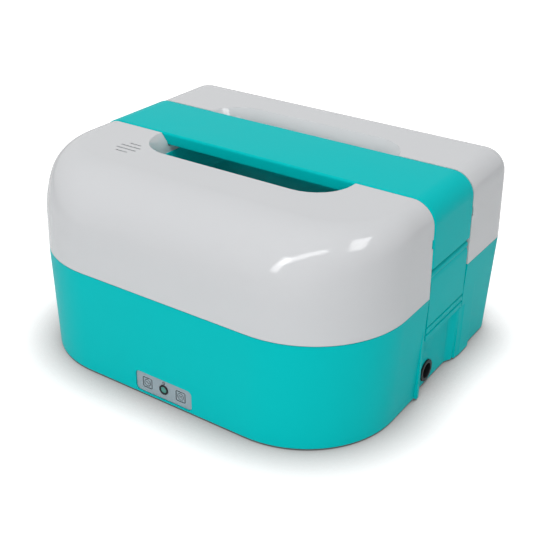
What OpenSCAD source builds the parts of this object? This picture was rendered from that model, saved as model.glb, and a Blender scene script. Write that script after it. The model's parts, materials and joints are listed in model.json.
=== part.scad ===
// Electric lunch box: a heated base, two food containers and a lift-off lid
// with a carrying handle across its top and a swing latch at each side.
// Millimetres. X runs to the right, Y to the back and Z up, and the origin is
// under the middle of the box, on the surface that its feet stand on.

/* [Overall size] */
// Width across the side walls, at the seam
body_w = 235; // [210:1:282]
// Depth from the front wall to the rear wall, at the seam
body_d = 197; // [180:1:236]
// Height with the lid closed
body_h = 122; // [118:1:147]
// Height of the seam between the base and the lid
seam_z = 66; // [62:1:70]
// Plan radius of the two front corners
front_corner_r = 60; // [45:1:72]
// Plan radius of the two rear corners
rear_corner_r = 17; // [15:1:24]
// How far the side walls of the base lean in at the floor
base_draft = 2.6; // [0.5:0.1:3.2]
// How far the front wall of the base leans in at the floor
front_draft = 0.3; // [0:0.1:2]
// How far the walls of the lid lean in at its top
lid_draft = 1.6; // [0.5:0.1:3]

/* [Lid] */
// Radius of the wide shoulder along the front of the lid
front_shoulder_r = 34.7; // [24:0.1:40]
// Radius of the shoulders along the sides, and of the handle's corners
side_shoulder_r = 13.5; // [11:0.1:16]
// Radius of the shoulder along the rear of the lid
rear_shoulder_r = 16.4; // [11:0.1:20]
// Wall thickness of the lid
lid_wall = 2.2; // [1.8:0.1:2.6]
// Depth of the channel that the handle and the latches lie in
channel_depth = 7.8; // [7.4:0.1:8.4]
// Thickness of the inner cover's rim
liner_t = 2.5; // [2:0.1:3]
// Number of slits in the steam vent
vent_slits = 4; // [2:1:5]
// Spacing of the vent slits
vent_pitch = 4.2; // [3:0.1:5]

/* [Handle] */
// Width of the handle strap from front to back
handle_w = 50; // [42:1:58]
// How far the strap lies behind the middle of the box
handle_offset = 14.2; // [5:0.1:22]
// Depth of the strap's skirts, which is how thick it looks
grip_depth = 7; // [5:0.1:7]
// Wall thickness of the strap
grip_wall = 2.4; // [1.8:0.1:3]
// Radius along the strap's outer edges
grip_edge_r = 1.6; // [0.8:0.1:2.2]
// How far the strap stands proud of the lid
grip_proud = 0.3; // [0:0.1:0.6]

/* [Finger well] */
// Length of the well under the handle, along X
well_len = 136; // [100:1:145]
// How far the well reaches in front of the strap
well_front = 27; // [20:1:32]
// How far the well reaches behind the strap
well_rear = 20.5; // [14:0.5:26]
// Depth of the well below the top of the lid
well_depth = 28.5; // [24:0.5:30]
// Thickness of the tray that floors the well
tray_t = 2.2; // [1.6:0.1:3]

/* [Latches] */
// Gap between each side of a latch and its channel
latch_side_gap = 1.5; // [0.8:0.1:3]
// Reach of a latch above the seam
latch_up = 17; // [14:0.5:20]
// Reach of a latch below the seam
latch_down = 28.5; // [22:0.5:32]
// Thickness of the latch plate
latch_t = 2.2; // [1.6:0.1:2.4]
// Diameter of a latch's hinge pin
pin_d = 2.4; // [2:0.1:3]
// Radial running clearance of the latch on its pin
pin_play = 0.06; // [0.02:0.01:0.1]
// Depth of the base's side recess, below the latch
side_recess = 4.9; // [4:0.1:5.4]

/* [Base] */
// Wall thickness of the outer base
base_wall = 2.5; // [2:0.1:3]
// Height of the rubber feet under the base
foot_h = 1.2; // [1:0.1:2.5]
// Diameter of a rubber foot
foot_d = 14; // [10:0.5:18]
// Thickness of the bottom cover
cover_t = 1.4; // [1.2:0.1:2]
// Height of the space for the heater and the wiring
works_h = 16.8; // [16.8:0.1:20]
// Wall thickness of the inner tub
tub_wall = 1.6; // [1.2:0.1:2]
// Height of the tub's lip above the seam
lip_rise = 4; // [3:0.1:5]

/* [Containers] */
// Wall thickness of the containers
food_wall = 1.6; // [1.2:0.1:2]
// Clearance between a container and what it stands in
food_gap = 0.6; // [0.4:0.1:1]
// Width of the small container along X
side_w = 68; // [55:1:80]
// Thickness of the small container's lid
side_lid_t = 1.6; // [1.2:0.1:2]

/* [Heater] */
// Length of the heating plate along X
plate_len = 150; // [130:1:170]
// Width of the heating plate along Y
plate_wid = 112; // [100:1:124]
// Thickness of the heating plate
plate_t = 1.5; // [1:0.1:2]
// Length of the heating element along X
ptc_len = 72; // [60:1:84]
// Width of the heating element along Y
ptc_wid = 36; // [28:1:40]
// Thickness of the heating element
ptc_t = 6.4; // [5:0.1:7]
// Diameter of the thermostat
stat_d = 16; // [12:0.5:17]

/* [Inlet and panel] */
// Outside diameter of the power inlet's collar
inlet_d = 13.6; // [13:0.1:14]
// Diameter of the mouth that guides the plug
inlet_mouth_d = 9.6; // [9.2:0.1:10]
// Depth of the mouth that guides the plug
inlet_mouth_len = 5.6; // [4:0.1:6]
// Diameter of the deeper chamber that the pins stand in
inlet_chamber_d = 8.8; // [8:0.1:9]
// Length of the pins, whose tips end at the mouth
inlet_pin_len = 6; // [4:0.1:6.5]
// Height of the inlet's axis above the surface
inlet_z = 9.7; // [9.7:0.1:10.5]
// How far the inlet lies in front of the handle's middle
inlet_back = 9.5; // [2:0.5:16]
// Width of the control panel
panel_w = 40; // [36:1:60]
// Height of the control panel
panel_h = 12.8; // [11.5:0.1:13]
// Corner radius of the control panel
panel_r = 2.6; // [1:0.1:4]
// How far the panel lies behind the front wall
panel_sunk = 0.7; // [0.3:0.1:1]
// Outside diameter of the lamp's bezel
lamp_d = 6.2; // [5:0.1:8]

/* [Hidden] */

teal = [0, 0.71, 0.72];
lid_grey = [0.83, 0.84, 0.86];
tub_white = [0.92, 0.93, 0.92];
natural = [0.9, 0.92, 0.9, 0.75];
silicone = [0.85, 0.87, 0.86];
steel = [0.7, 0.72, 0.74];
metal = [0.8, 0.81, 0.82];
black = [0.05, 0.05, 0.055];

hw = body_w / 2;
hd = body_d / 2;
// Smallest radius that a shrunken corner is given
min_r = 1;
// Gap between two pieces that move apart, and between fixed neighbours
move_gap = 0.3;
fit_gap = 0.2;
// How far a cutter runs past the face that it cuts
over = 1;

// Levels, from the floor up
cover_z = foot_h;
cover_top = cover_z + cover_t;
tub_z = cover_top + works_h;
tub_floor_top = tub_z + tub_wall;
seal_t = 1;
plate_z = tub_floor_top + seal_t;
plate_top = plate_z + plate_t;
food_z = plate_top + move_gap;
rim_z = seam_z - move_gap / 2;
lid_rim_z = seam_z + move_gap / 2;
lip_z = seam_z + lip_rise;
food_flange_z = lip_z + move_gap;
food_flange_t = 1.5;
food_top = food_flange_z + food_flange_t;
gasket_z = food_top + move_gap;
gasket_drop = 1.9;
liner_z = gasket_z + gasket_drop;
liner_top = liner_z + liner_t;
well_z = body_h - well_depth;
tray_z = well_z - tray_t;

// The nested walls of the tub and the containers
nest_side = channel_depth + lid_wall + 0.8;
nest_end = 6.5;
nest_draft = 1.5;
food_t = tub_wall + food_gap;
food_in_t = food_t + food_wall;

// The channel across the lid and down both sides
handle_gap = 0.25;
ch_y1 = handle_offset - handle_w / 2 - handle_gap;
ch_y2 = handle_offset + handle_w / 2 + handle_gap;
rec_x = hw - side_recess;
lean_a = atan(lid_draft / (body_h - seam_z));

// The latches
latch_w = ch_y2 - ch_y1 - 2 * latch_side_gap;
latch_x = hw - 0.5;
latch_top = seam_z + latch_up;
latch_z = seam_z - latch_down;
latch_bevel_h = 8;
latch_bevel_x = latch_x - 2.6;
pin_x = hw - 3.5;
pin_z = latch_top - 3.7;
barrel_r = pin_d / 2 + 1.5;
flange_x = rec_x + 0.4;
catch_x = rec_x + 1.3;
hook_x = catch_x + move_gap;
catch_z = seam_z - 14;
arm_z = latch_top + 1;

// Screws
screw_r = 1.5;
screw_head_r = 2.8;
screw_head_h = 1.8;
boss_r = 3.6;
handle_screw_x = hw - 29;
handle_screw_y = 12;

// Finger well
well_y1 = ch_y1 - well_front;
well_y2 = ch_y2 + well_rear;
well_corner = 24;

// Steam vent, just outside the left front corner of the well
vent_x = -well_len / 2 + 1;
vent_y = well_y1 - 4.15;
vent_r = 7.6;
slit_w = 1.1;

// Fineness of the swept and lofted forms
fine_front = 20;
fine_rear = 10;
plain_front = 12;
plain_rear = 6;

// ---------- outlines and lofts ----------

function arc(c, r, a0, a1, n) = [
    for (i = [0:n]) let (a = a0 + (a1 - a0) * i / n) [c[0] + r * cos(a), c[1] + r * sin(a)]
];

// Plan outline, set in from the overall size at the sides, front and back
function plan(s, f, b, nf, nr) =
    let (
        x = hw - s,
        y1 = -hd + f,
        y2 = hd - b,
        rf = max(front_corner_r - (s + f) / 2, min_r),
        rr = max(rear_corner_r - (s + b) / 2, min_r)
    )
    concat(
        arc([x - rf, y1 + rf], rf, -90, 0, nf),
        arc([x - rr, y2 - rr], rr, 0, 90, nr),
        arc([-x + rr, y2 - rr], rr, 90, 180, nr),
        arc([-x + rf, y1 + rf], rf, 180, 270, nf)
    );

// Rounded rectangle with its own front and rear corner radii
function box_plan(x1, x2, y1, y2, rf, rr, n) = concat(
    arc([x2 - rf, y1 + rf], rf, -90, 0, n),
    arc([x2 - rr, y2 - rr], rr, 0, 90, n),
    arc([x1 + rr, y2 - rr], rr, 90, 180, n),
    arc([x1 + rf, y1 + rf], rf, 180, 270, n)
);

function at_z(pts, z) = [for (p = pts) [p[0], p[1], z]];

// Closed solid through a stack of rings with the same number of points
module loft(rings) {
    n = len(rings[0]);
    m = len(rings);
    points = [for (r = rings) each r];
    sides = [
        for (k = [0:m - 2]) for (i = [0:n - 1])
            let (j = (i + 1) % n, a = k * n, b = a + n)
            each [[a + i, b + i, b + j], [a + i, b + j, a + j]]
    ];
    caps = [[for (i = [0:n - 1]) i], [for (i = [n - 1:-1:0]) (m - 1) * n + i]];
    polyhedron(points, concat(sides, caps), convexity = 8);
}

// Extrudes an X-Z outline from y0 to y1
module along_y(y0, y1) {
    translate([0, y1, 0]) rotate([90, 0, 0]) linear_extrude(y1 - y0) children();
}

// Cylinder along X, from x0 to x1
module rod_x(x0, x1, r, n = 48) {
    translate([x0, 0, 0]) rotate([0, 90, 0]) cylinder(h = x1 - x0, r = r, $fn = n);
}

// Cylinder along Y, from y0 to y1
module rod_y(y0, y1, r, n = 48) {
    translate([0, y1, 0]) rotate([90, 0, 0]) cylinder(h = y1 - y0, r = r, $fn = n);
}

module slab(x0, x1, y0, y1, z0, z1) {
    translate([x0, y0, z0]) cube([x1 - x0, y1 - y0, z1 - z0]);
}

module both_sides() {
    children();
    mirror([1, 0, 0]) children();
}

// The six places of the screws that hold the lid's inner cover
module lid_screw_places() {
    for (side = [-1, 1]) {
        translate([side * (hw - 29.5), -hd + 46.5, 0]) children();
        translate([side * (hw - 25.5), hd - 24.5, 0]) children();
    }
    translate([0, -hd + 19.5, 0]) children();
    translate([0, hd - 19.5, 0]) children();
}

// The four places of the posts that carry the tub
module post_places() {
    for (side = [-1, 1]) {
        translate([side * (hw - 36), -hd + 42, 0]) children();
        translate([side * (hw - 24), hd - 22, 0]) children();
    }
}

// Pan-head screw pointing up, with the underside of its head at z = 0
module screw_up(len) {
    translate([0, 0, -screw_head_h]) cylinder(h = screw_head_h, r = screw_head_r, $fn = 32);
    cylinder(h = len, r = screw_r, $fn = 24);
}

// ---------- base ----------

function base_ring(z, t, nf = plain_front, nr = plain_rear) =
    let (k = 1 - z / seam_z)
    at_z(plan(base_draft * k + t, front_draft * k + t, base_draft * k + t, nf, nr), z);

// Outer surface of the base
module base_form() {
    loft([for (z = [cover_z, rim_z]) base_ring(z, 0, fine_front, fine_rear)]);
}

// Room inside the base: the steps leave a ledge for the cover and one for the tub
module base_room() {
    step = base_wall + 1.5;
    loft([
        base_ring(cover_z - over, base_wall),
        base_ring(cover_top, base_wall),
        base_ring(cover_top, step),
        base_ring(cover_top + 1.6, step),
        base_ring(cover_top + 3.1, base_wall),
        base_ring(rim_z - 6.1, base_wall),
        base_ring(rim_z - 4.6, step),
        base_ring(rim_z - tub_wall, step),
        base_ring(rim_z - tub_wall, base_wall),
        base_ring(rim_z + over, base_wall)
    ]);
}

// Right-hand side channel of the base, grown by a wall where it stands inside
module side_block(grow) {
    slab(rec_x - grow, hw + 5, ch_y1 - grow, ch_y2 + pad_round + grow, -over, seam_z + over);
}

pad_round = 6.5;
pad_x = hw - 0.7;
pad_front = 2.6;
pad_rear = 17.5;

// Hollow below the latch, whose rear end swells out again in an S curve
module grip_hollow() {
    swell_x = hw - 1.3;
    swell_y = ch_y2 - 9;
    steps = 10;
    swell = [
        for (i = [0:steps]) let (t = i / steps)
            [rec_x + (swell_x - rec_x) * (1 - cos(180 * t)) / 2, swell_y + (ch_y2 - swell_y) * t]
    ];
    round_off = [
        for (i = [1:steps]) let (t = i / steps)
            [swell_x + (hw + 0.4 - swell_x) * (1 - cos(90 * t)), ch_y2 + pad_round * sin(90 * t)]
    ];
    outline = concat([[hw + 5, ch_y1], [rec_x, ch_y1]], swell, round_off, [[hw + 5, ch_y2 + pad_round]]);
    translate([0, 0, -over]) linear_extrude(latch_z + over) polygon(outline);
}

// Ledge that the latch's hook snaps under
module catch_bead() {
    along_y(ch_y1 + 6, ch_y2 - 6)
        polygon([
            [rec_x - 0.5, catch_z - 1], [catch_x, catch_z], [catch_x, catch_z + 1.6],
            [rec_x, catch_z + 5], [rec_x - 0.5, catch_z + 5]
        ]);
}

// Upright pads that frame the channel where the wall leans away from them
module channel_pads() {
    slab(hw - 6, pad_x, ch_y1 - pad_front, ch_y1 + 1, cover_z, rim_z - 16);
    slab(hw - 6, pad_x, ch_y2 - 1, ch_y2 + pad_rear, cover_z, rim_z - 16);
}

panel_z = cover_z + 1.2 + panel_h / 2;
panel_y = -hd + front_draft * (1 - panel_z / seam_z) + panel_sunk;
panel_t = 1.2;
board_t = 1.2;
board_y = panel_y + panel_t + 3.6;
board_back = board_y + board_t;

// Rounded plate standing in the X-Z plane, its front face at y0
module panel_plate(w, h, r, y0, y1) {
    along_y(y0, y1) {
        square([w - 2 * r, h], center = true);
        square([w, h - 2 * r], center = true);
        for (sx = [-1, 1]) for (sz = [-1, 1])
            translate([sx * (w / 2 - r), sz * (h / 2 - r)]) circle(r, $fn = 32);
    }
}

inlet_y = handle_offset - inlet_back;
inlet_body_r = inlet_d / 2 - 0.9;
inlet_collar_t = 1;
inlet_face = rec_x + inlet_collar_t;
inlet_step = inlet_face - inlet_mouth_len;
inlet_floor = inlet_step - inlet_pin_len;
inlet_back_x = rec_x - base_wall - 11;
pin_pitch = 5.2;

module base_shell() {
    color(teal)
    difference() {
        union() {
            difference() {
                union() {
                    base_form();
                    both_sides() channel_pads();
                }
                both_sides() {
                    slab(rec_x, hw + 5, ch_y1, ch_y2, latch_z - over, seam_z + over);
                    grip_hollow();
                }
                difference() {
                    base_room();
                    both_sides() side_block(base_wall);
                }
            }
            both_sides() catch_bead();
        }
        // Seat and window of the control panel
        translate([0, 0, panel_z]) {
            panel_plate(
                panel_w + 2 * fit_gap, panel_h + 2 * fit_gap, panel_r + fit_gap,
                -hd - over, panel_y + panel_t
            );
            slab(-panel_w / 2 + 4, panel_w / 2 - 4, -hd, -hd + base_wall + 3,
                -panel_h / 2 + 2.5, panel_h / 2 - 2.5);
        }
        // Hole for the power inlet
        translate([0, inlet_y, inlet_z]) rod_x(rec_x - base_wall - over, rec_x + over, inlet_body_r);
    }
}

module cover_outline(gap) {
    difference() {
        polygon(plan(
            base_draft + base_wall + gap, front_draft + base_wall + gap,
            base_draft + base_wall + gap, plain_front, plain_rear
        ));
        for (side = [-1, 1])
            translate([
                side * (hw - (side_recess + base_wall + gap) / 2 + 2.5),
                (ch_y1 + ch_y2 + pad_round) / 2
            ])
                square([side_recess + base_wall + gap + 5, ch_y2 - ch_y1 + pad_round
                    + 2 * (base_wall + gap)], center = true);
    }
}

foot_seat = 0.6;

module foot_places() {
    for (side = [-1, 1]) {
        translate([side * (hw - 30), -hd + 62, 0]) children();
        translate([side * (hw - 40), hd - 20, 0]) children();
    }
}

module bottom_cover() {
    rib_t = 1.4;
    rib_h = 2.6;
    color(teal)
    difference() {
        union() {
            translate([0, 0, cover_z]) linear_extrude(cover_t) cover_outline(fit_gap);
            // Stiffening ribs, left and right of the heat shield
            for (side = [-1, 1]) for (k = [0:2])
                translate([side * (shield_len / 2 + 6 + 7 * k), 0, cover_top + rib_h / 2 - 0.1])
                    cube([rib_t, 90, rib_h + 0.2], center = true);
        }
        foot_places() translate([0, 0, -over])
            cylinder(h = cover_z + foot_seat + over, r = foot_d / 2 + 0.05, $fn = 48);
        post_places() {
            cylinder(h = 9, r = screw_r + 0.2, $fn = 32);
            cylinder(h = cover_z + 0.8, r = screw_head_r + 0.3, $fn = 32);
        }
    }
}

module bottom_screws() {
    color(steel)
    post_places() translate([0, 0, cover_z + 0.8]) {
        difference() {
            translate([0, 0, -0.7]) cylinder(h = 0.7, r = screw_head_r, $fn = 32);
            for (a = [0, 90]) rotate(a) cube([3.2, 0.7, 2 * 0.5 + 0.9], center = true);
        }
        cylinder(h = 11, r = screw_r, $fn = 24);
    }
}

module rubber_feet() {
    color(black)
    foot_places() {
        cylinder(h = 0.5, r1 = foot_d / 2 - 0.6, r2 = foot_d / 2 - 0.1, $fn = 48);
        translate([0, 0, 0.5]) cylinder(h = foot_h + foot_seat - 0.5, r = foot_d / 2 - 0.1, $fn = 48);
    }
}

function nest_ring(z, t, nf = plain_front, nr = plain_rear) =
    let (k = nest_draft * (lip_z - z) / (lip_z - tub_z))
    at_z(plan(nest_side + t + k, nest_end + t + k, nest_end + t + k, nf, nr), z);

opening_len = plate_len - 26;
opening_wid = plate_wid - 26;
corner_r = 12;

module rounded_plate(len, wid, r, z0, z1) {
    translate([0, 0, z0]) linear_extrude(z1 - z0) {
        square([len - 2 * r, wid], center = true);
        square([len, wid - 2 * r], center = true);
        for (sx = [-1, 1]) for (sy = [-1, 1])
            translate([sx * (len / 2 - r), sy * (wid / 2 - r)]) circle(r, $fn = 48);
    }
}

module heating_tub() {
    color(tub_white)
    difference() {
        union() {
            loft([nest_ring(tub_z, 0), nest_ring(lip_z, 0)]);
            // Flange that lies on the ledge of the outer base
            translate([0, 0, rim_z - tub_wall]) linear_extrude(tub_wall) difference() {
                polygon(plan(base_wall + fit_gap, base_wall + fit_gap, base_wall + fit_gap,
                    plain_front, plain_rear));
                for (side = [-1, 1])
                    translate([side * (hw + 5 - (side_recess + base_wall + fit_gap + 5) / 2),
                            (ch_y1 + ch_y2 + pad_round) / 2])
                        square([side_recess + base_wall + fit_gap + 5, ch_y2 - ch_y1 + pad_round
                            + 2 * (base_wall + fit_gap)], center = true);
            }
            // Posts that the bottom cover is screwed to
            post_places() translate([0, 0, cover_top]) cylinder(h = works_h + 0.5, r = boss_r, $fn = 40);
        }
        loft([nest_ring(tub_floor_top, tub_wall), nest_ring(lip_z + over, tub_wall)]);
        rounded_plate(opening_len, opening_wid, corner_r, tub_z - over, tub_floor_top + over);
        post_places() translate([0, 0, cover_top - over]) cylinder(h = 12, r = screw_r, $fn = 32);
    }
}

module plate_seal() {
    color(silicone)
    difference() {
        rounded_plate(plate_len - 4, plate_wid - 4, corner_r, tub_floor_top, plate_z);
        rounded_plate(opening_len + 4, opening_wid + 4, corner_r, tub_floor_top - over, plate_z + over);
    }
}

stud_x = ptc_len / 2 + 12;

module heating_plate() {
    color(metal)
    difference() {
        union() {
            rounded_plate(plate_len, plate_wid, corner_r + 2, plate_z, plate_top - 0.4);
            rounded_plate(plate_len - 4, plate_wid - 4, corner_r, plate_z, plate_top);
            // Studs under the plate that the clamp is screwed to
            for (side = [-1, 1])
                translate([side * stud_x, 0, plate_z - 4]) cylinder(h = 4.2, r = 3.2, $fn = 32);
        }
        for (side = [-1, 1])
            translate([side * stud_x, 0, plate_z - 4 - over]) cylinder(h = 4.8, r = screw_r, $fn = 24);
    }
}

ptc_z = plate_z - ptc_t;

// Finned aluminium case with the ceramic elements pressed into it
module ptc_heater() {
    color(metal)
    difference() {
        slab(-ptc_len / 2, ptc_len / 2, -ptc_wid / 2, ptc_wid / 2, ptc_z, plate_z);
        for (sy = [-1, 1])
            slab(-ptc_len / 2 - over, ptc_len / 2 + over, sy * (ptc_wid / 2 - 1.5) - 1.7,
                sy * (ptc_wid / 2 - 1.5) + 1.7, ptc_z + 2, ptc_z + ptc_t - 1.6);
        for (k = [-1:1])
            slab(-ptc_len / 2 - over, ptc_len / 2 + over, 7 * k - 0.8, 7 * k + 0.8, ptc_z - over, ptc_z + 1);
    }
}

clamp_w = 14;
clamp_t = 1;

// Spring strip that holds the element against the plate
module heater_clamp() {
    low = ptc_z - clamp_t;
    foot = plate_z - 4;
    leg = ptc_len / 2 + 1;
    color(steel)
    difference() {
        along_y(-clamp_w / 2, clamp_w / 2)
            polygon([
                [-stud_x - 5, foot - clamp_t], [-leg - 3, foot - clamp_t], [-leg, low],
                [leg, low], [leg + 3, foot - clamp_t], [stud_x + 5, foot - clamp_t],
                [stud_x + 5, foot], [leg + 2.4, foot], [leg - 0.6, ptc_z],
                [-leg + 0.6, ptc_z], [-leg - 2.4, foot], [-stud_x - 5, foot]
            ]);
        for (side = [-1, 1])
            translate([side * stud_x, 0, low - over]) cylinder(h = 12, r = screw_r + 0.2, $fn = 32);
    }
}

module clamp_screws() {
    color(steel)
    for (side = [-1, 1])
        translate([side * stud_x, 0, plate_z - 4 - clamp_t]) screw_up(4.4);
}

stat_y = (ptc_wid / 2 + opening_wid / 2) / 2 + 1;
stat_h = 8;
blade_mid = 5;
blade_w = 4.4;
blade_len = 3;
blade_x = blade_mid + blade_w / 2;
stat_wire_z = plate_z - stat_h - 2;

module thermostat() {
    color(black)
    translate([0, stat_y, plate_z]) {
        translate([0, 0, -2.4]) cylinder(h = 2.4, r = stat_d / 2, $fn = 48);
        translate([0, 0, -stat_h]) cylinder(h = stat_h - 2.3, r = stat_d / 2 - 1.2, $fn = 48);
        // Blade terminals
        for (side = [-1, 1])
            slab(side * blade_mid - blade_w / 2, side * blade_mid + blade_w / 2, -0.4, 0.4,
                -stat_h - blade_len, -stat_h + 0.1);
    }
}

fuse_y = -stat_y;
fuse_r = 2.3;
fuse_len = 28;
fuse_lead = 19;
fuse_wire_r = 0.8;

// Thermal fuse in its sleeve, strapped under the plate
module thermal_fuse() {
    color([0.9, 0.9, 0.85]) {
        translate([0, fuse_y, plate_z - fuse_r]) rod_x(-fuse_len / 2, fuse_len / 2, fuse_r, 32);
        translate([0, fuse_y, plate_z - fuse_r]) rod_x(-fuse_lead, fuse_lead, fuse_wire_r, 20);
    }
}

shield_len = ptc_len + 44;
shield_wid = 76;
shield_z = cover_top + 2.6;

// Folded sheet that keeps the heat off the bottom cover
module heat_shield() {
    t = 0.8;
    color(metal) {
        slab(-shield_len / 2, shield_len / 2, -shield_wid / 2, shield_wid / 2, shield_z - t, shield_z);
        for (side = [-1, 1]) {
            edge = side * (shield_wid - t) / 2;
            slab(-shield_len / 2, shield_len / 2, edge - t / 2, edge + t / 2, cover_top, shield_z);
        }
    }
}

// ---------- wiring ----------

wire_r = 0.9;

// Catmull-Rom points through a list, with k steps for each span
function spline(p, k) =
    let (n = len(p))
    concat([
        for (i = [0:n - 2]) for (s = [0:k - 1])
            let (
                t = s / k,
                a = p[max(i - 1, 0)],
                b = p[i],
                c = p[i + 1],
                d = p[min(i + 2, n - 1)]
            )
            0.5 * (2 * b + (c - a) * t + (2 * a - 5 * b + 4 * c - d) * t * t
                + (3 * b - a - 3 * c + d) * t * t * t)
    ], [p[n - 1]]);

// Route whose first and last stretches stay straight, so that its ends lie flat
function route(p) =
    let (last = len(p) - 1)
    concat([p[0]], spline([for (i = [1:last - 1]) p[i]], 3), [p[last]]);

function unit(v) = v / norm(v);

function wire_rings(path, r, sides) = [
    for (i = [0:len(path) - 1])
        let (
            last = len(path) - 1,
            t = unit(path[min(i + 1, last)] - path[max(i - 1, 0)]),
            s = unit(cross([0, 0, 1], t)),
            u = cross(t, s)
        )
        [for (j = [0:sides - 1]) let (a = 360 * j / sides) path[i] + r * (s * cos(a) + u * sin(a))]
];

tab_x = inlet_back_x - 5;
wire_end_y = 11;
// Inlet to thermostat, thermostat to element, inlet to fuse, fuse to element, inlet to lamp board
wires = [
    [[tab_x, inlet_y + pin_pitch / 2, inlet_z], [tab_x - 5, inlet_y + pin_pitch / 2, inlet_z], [72, 20, 9.5],
        [40, stat_y + 1, 9.5], [blade_x + 6, stat_y, stat_wire_z], [blade_x, stat_y, stat_wire_z]],
    [[-blade_x, stat_y, stat_wire_z], [-blade_x - 6, stat_y, stat_wire_z], [-30, stat_y - 4, 11],
        [-48, 20, 14], [-ptc_len / 2 - 6, wire_end_y, ptc_z + 3], [-ptc_len / 2, wire_end_y, ptc_z + 3]],
    [[tab_x, inlet_y - pin_pitch / 2, inlet_z + 1.2], [tab_x - 5, inlet_y - pin_pitch / 2, inlet_z + 1.2],
        [70, -14, 12], [46, -26, 14], [fuse_lead + 5, fuse_y, plate_z - fuse_r], [fuse_lead, fuse_y, plate_z - fuse_r]],
    [[-fuse_lead, fuse_y, plate_z - fuse_r], [-fuse_lead - 5, fuse_y, plate_z - fuse_r],
        [-36, fuse_y + 3, 17], [-48, -20, 16.5], [-ptc_len / 2 - 6, -wire_end_y, ptc_z + 3], [-ptc_len / 2, -wire_end_y, ptc_z + 3]],
    [[tab_x, inlet_y - pin_pitch / 2, inlet_z - 1.4], [tab_x - 5, inlet_y - pin_pitch / 2, inlet_z - 1.4],
        [84, -30, 7.5], [62, -56, 7], [34, -74, 7], [10, -82, 8], [4, board_back + 5, panel_z], [4, board_back, panel_z]]
];

module wiring() {
    color([0.75, 0.1, 0.1])
    for (w = wires) loft(wire_rings(route(w), wire_r, 8));
}

// ---------- power inlet ----------

module inlet_socket() {
    color(black)
    translate([0, inlet_y, inlet_z])
    difference() {
        union() {
            rod_x(rec_x, inlet_face, inlet_d / 2, 64);
            rod_x(inlet_back_x, rec_x + 0.1, inlet_body_r, 64);
        }
        rod_x(inlet_step, inlet_face + over, inlet_mouth_d / 2, 64);
        rod_x(inlet_floor, inlet_step + over, inlet_chamber_d / 2, 64);
    }
}

module inlet_pins() {
    color(steel)
    translate([0, inlet_y, inlet_z])
    for (side = [-1, 1]) translate([0, side * pin_pitch / 2, 0]) {
        rod_x(inlet_floor, inlet_step, 0.9, 24);
        slab(tab_x, inlet_back_x, -0.4, 0.4, -2.4, 2.4);
    }
}

module inlet_nut() {
    color(black)
    translate([0, inlet_y, inlet_z])
    difference() {
        rod_x(rec_x - base_wall - 3.2, rec_x - base_wall, inlet_d / 2, 64);
        rod_x(rec_x - base_wall - 4.2, rec_x - base_wall + over, inlet_body_r, 64);
        for (a = [0:45:315]) rotate([a, 0, 0])
            slab(rec_x - base_wall - 4.2, rec_x - base_wall + over, -0.7, 0.7,
                inlet_d / 2 - 0.45, inlet_d / 2 + 1);
    }
}

// ---------- control panel ----------

lamp_r = lamp_d / 2;
lens_r = lamp_r - 1.1;
mark_w = 6.6;
mark_x = 12;
mark_line = 0.5;

module control_panel() {
    color([0.6, 0.65, 0.68])
    translate([0, 0, panel_z])
    difference() {
        union() {
            panel_plate(panel_w, panel_h, panel_r, panel_y, panel_y + panel_t);
            // Posts that the lamp board is set on
            for (side = [-1, 1])
                translate([side * 14, 0, 0]) rod_y(panel_y + panel_t - 0.1, board_y, 1.4, 24);
        }
        rod_y(panel_y - over, panel_y + panel_t + over, lens_r + 0.6, 48);
        // Raised square outlines beside the lamp, left by a shallow cut
        for (side = [-1, 1]) translate([side * mark_x, 0, 0]) difference() {
            panel_plate(mark_w, mark_w, 1.2, panel_y - over, panel_y + 0.25);
            panel_plate(mark_w - 2 * mark_line, mark_w - 2 * mark_line, 0.8,
                panel_y - 2 * over, panel_y + over);
        }
    }
}

module lamp_bezel() {
    color(black)
    translate([0, 0, panel_z])
    difference() {
        union() {
            rod_y(panel_y - 0.5, panel_y, lamp_r, 48);
            rod_y(panel_y - 0.1, panel_y + panel_t + 0.6, lens_r + 0.6, 48);
        }
        rod_y(panel_y - over, panel_y + panel_t + over, lens_r, 48);
    }
}

module lamp_lens() {
    color([0.25, 0.6, 0.52])
    translate([0, 0, panel_z]) {
        rod_y(panel_y - 0.3, board_y, lens_r, 48);
    }
}

module lamp_board() {
    color([0.1, 0.35, 0.15])
    translate([0, 0, panel_z]) {
        slab(-17, 17, board_y, board_back, -panel_h / 2 + 1.6, panel_h / 2 - 1.6);
        slab(7, 13, board_back - 0.1, board_back + 1.4, -3.4, -1.4);
        slab(-12, -7, board_back - 0.1, board_back + 1, -1, 1);
    }
}

// ---------- containers ----------

module food_container() {
    floor_z = food_z + food_wall;
    color(natural)
    difference() {
        union() {
            loft([nest_ring(food_z, food_t + 1.4), nest_ring(food_z + 2, food_t),
                nest_ring(food_top, food_t)]);
            translate([0, 0, food_flange_z]) linear_extrude(food_flange_t)
                polygon(plan(nest_side, nest_end, nest_end, plain_front, plain_rear));
        }
        loft([
            nest_ring(floor_z, food_in_t + 3), nest_ring(floor_z + 1.2, food_in_t + 0.8),
            nest_ring(floor_z + 4, food_in_t), nest_ring(food_top + over, food_in_t)
        ]);
    }
}

side_z = food_z + food_wall + move_gap;
side_top = food_top - 2.6;
side_x2 = hw - nest_side - food_in_t - nest_draft - food_gap - 2;
side_x1 = side_x2 - side_w;
side_y1 = -hd + nest_end + food_in_t + nest_draft + 26;
side_y2 = hd - nest_end - food_in_t - nest_draft - 3.4;
side_r = 14;
side_draft = 1.6;

function side_ring(z, t) =
    let (k = side_draft * (side_top - z) / (side_top - side_z) + t)
    at_z(box_plan(side_x1 + k, side_x2 - k, side_y1 + k, side_y2 - k, side_r - t, side_r - t, 7), z);

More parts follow.
